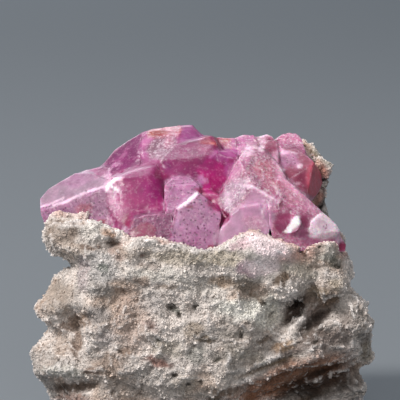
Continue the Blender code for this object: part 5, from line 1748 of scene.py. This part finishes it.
@dataclass
class LooseGrains:
    """Small cleaved grains that cover a surface, made by geometry nodes."""

    name: str
    surface: bpy.types.Object
    share: str
    body_slot: str
    per_square_mm: float
    size_mm: float
    seed: int
    spread: tuple[float, float] = (0.40, 1.70)
    lean: tuple[Triple, Triple, Triple] = ((1, 0.22, 0.18), (0, 0.86, 0.2), (0, 0, 0.74))

    def grain(self) -> bpy.types.Object:
        """Makes the one cleaved grain that is repeated: a calcite rhomb.

        Returns:
            The grain, which isn't linked to the scene.
        """
        mesh = bpy.data.meshes.new(self.name + "_rhomb")
        bm = bmesh.new()
        bmesh.ops.create_cube(bm, size=self.size_mm * MM)
        bmesh.ops.transform(bm, matrix=Matrix(self.lean).to_4x4(), verts=bm.verts)
        bmesh.ops.triangulate(bm, faces=bm.faces)
        bm.to_mesh(mesh)
        bm.free()
        return bpy.data.objects.new(self.name + "_rhomb", mesh)

    def tree(self) -> Tree:
        """Makes the node tree that scatters the grains.

        Returns:
            The tree, whose inputs are named for what they set.
        """
        tree = bpy.data.node_groups.new("scatter_" + self.name, "GeometryNodeTree")
        for label, kind in (("Surface", "NodeSocketGeometry"), ("Grain", "NodeSocketObject"),
                            ("Grains per square metre", "NodeSocketFloat"),
                            ("Smallest", "NodeSocketFloat"), ("Largest", "NodeSocketFloat"),
                            ("Seed", "NodeSocketInt"), ("Finish", "NodeSocketMaterial")):
            tree.interface.new_socket(label, in_out="INPUT", socket_type=kind)
        tree.interface.new_socket("Grains", in_out="OUTPUT", socket_type="NodeSocketGeometry")
        given = add_node(tree, "NodeGroupInput").outputs
        share = add_node(tree, "GeometryNodeInputNamedAttribute", {"Name": self.share},
                         data_type="FLOAT").outputs["Attribute"]
        density = add_node(tree, "ShaderNodeMath", {
            0: share, 1: given["Grains per square metre"]}, operation="MULTIPLY")
        points = add_node(tree, "GeometryNodeDistributePointsOnFaces", {
            "Mesh": given["Surface"], "Density": density.outputs[0], "Seed": given["Seed"]})
        own = add_node(tree, "FunctionNodeRandomValue", {
            2: -1.0, 3: 1.0, "Seed": given["Seed"]}, data_type="FLOAT")
        kept = add_node(tree, "GeometryNodeStoreNamedAttribute", {
            "Geometry": points.outputs["Points"], "Name": "grain", "Value": own.outputs[1]},
            data_type="FLOAT", domain="POINT")
        turn = add_node(tree, "FunctionNodeRandomValue", {
            0: (0.0,) * 3, 1: (math.tau,) * 3, "Seed": given["Seed"]}, data_type="FLOAT_VECTOR")
        size = add_node(tree, "FunctionNodeRandomValue", {
            2: given["Smallest"], 3: given["Largest"], "Seed": given["Seed"]},
            data_type="FLOAT")
        shape = add_node(tree, "GeometryNodeObjectInfo", {"Object": given["Grain"]})
        copies = add_node(tree, "GeometryNodeInstanceOnPoints", {
            "Points": kept.outputs[0], "Instance": shape.outputs["Geometry"],
            "Rotation": turn.outputs[0], "Scale": size.outputs[1]})
        real = add_node(tree, "GeometryNodeRealizeInstances", {"Geometry": copies.outputs[0]})
        dressed = add_node(tree, "GeometryNodeSetMaterial", {
            "Geometry": real.outputs[0], "Material": given["Finish"]})
        add_node(tree, "NodeGroupOutput", {0: dressed.outputs[0]})
        return tree

    def build(self, material: bpy.types.Material) -> bpy.types.Object:
        """Scatters the grains and makes them one plain mesh.

        Args:
            material: The grains' material.

        Returns:
            The finished piece.
        """
        carrier = bpy.data.objects.new(self.name, self.surface.data.copy())
        bpy.context.scene.collection.objects.link(carrier)
        carrier.data.materials.clear()
        tree = self.tree()
        modifier = carrier.modifiers.new("scatter", "NODES")
        modifier.node_group = tree
        named = {item.name: item.identifier for item in tree.interface.items_tree
                 if item.in_out == "INPUT"}
        values = {"Grain": self.grain(), "Grains per square metre": self.per_square_mm / MM**2,
                  "Smallest": self.spread[0], "Largest": self.spread[1], "Seed": self.seed,
                  "Finish": material}
        for label, value in values.items():
            modifier[named[label]] = value
        with_modifiers(carrier)
        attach(carrier, "root")
        return carrier


def report(piece: bpy.types.Object) -> None:
    """Logs a finished piece and its triangle count."""
    piece.data.calc_loop_triangles()
    LOG.info("%s: %d triangles", piece.name, len(piece.data.loop_triangles))


def main() -> None:
    """Builds the camera, the studio, the crystals, the rock and the grains in order."""
    logging.basicConfig(level=logging.INFO, format="%(asctime)s %(message)s")
    LOG.setLevel(logging.INFO)
    VIEW.build()
    Studio().build()
    calcite = PinkCalcite().build()
    carbonate = SugaryMatrix().build()

    cluster = CrystalCluster()
    cluster.build()
    cluster.finish(calcite)
    report(cluster.made)

    rock = MatrixRock()
    rock.build(cluster.made)
    rock.finish(carbonate)
    report(rock.made)

    for grains in (
        LooseGrains("matrix_grains_fine", rock.made, "grit", "matrix_rock", 1.35, 0.26, 3),
        LooseGrains("matrix_grains_front", rock.made, "front_grit", "matrix_rock", 4.5, 0.17, 4),
    ):
        report(grains.build(carbonate))


if __name__ == "__main__":
    main()
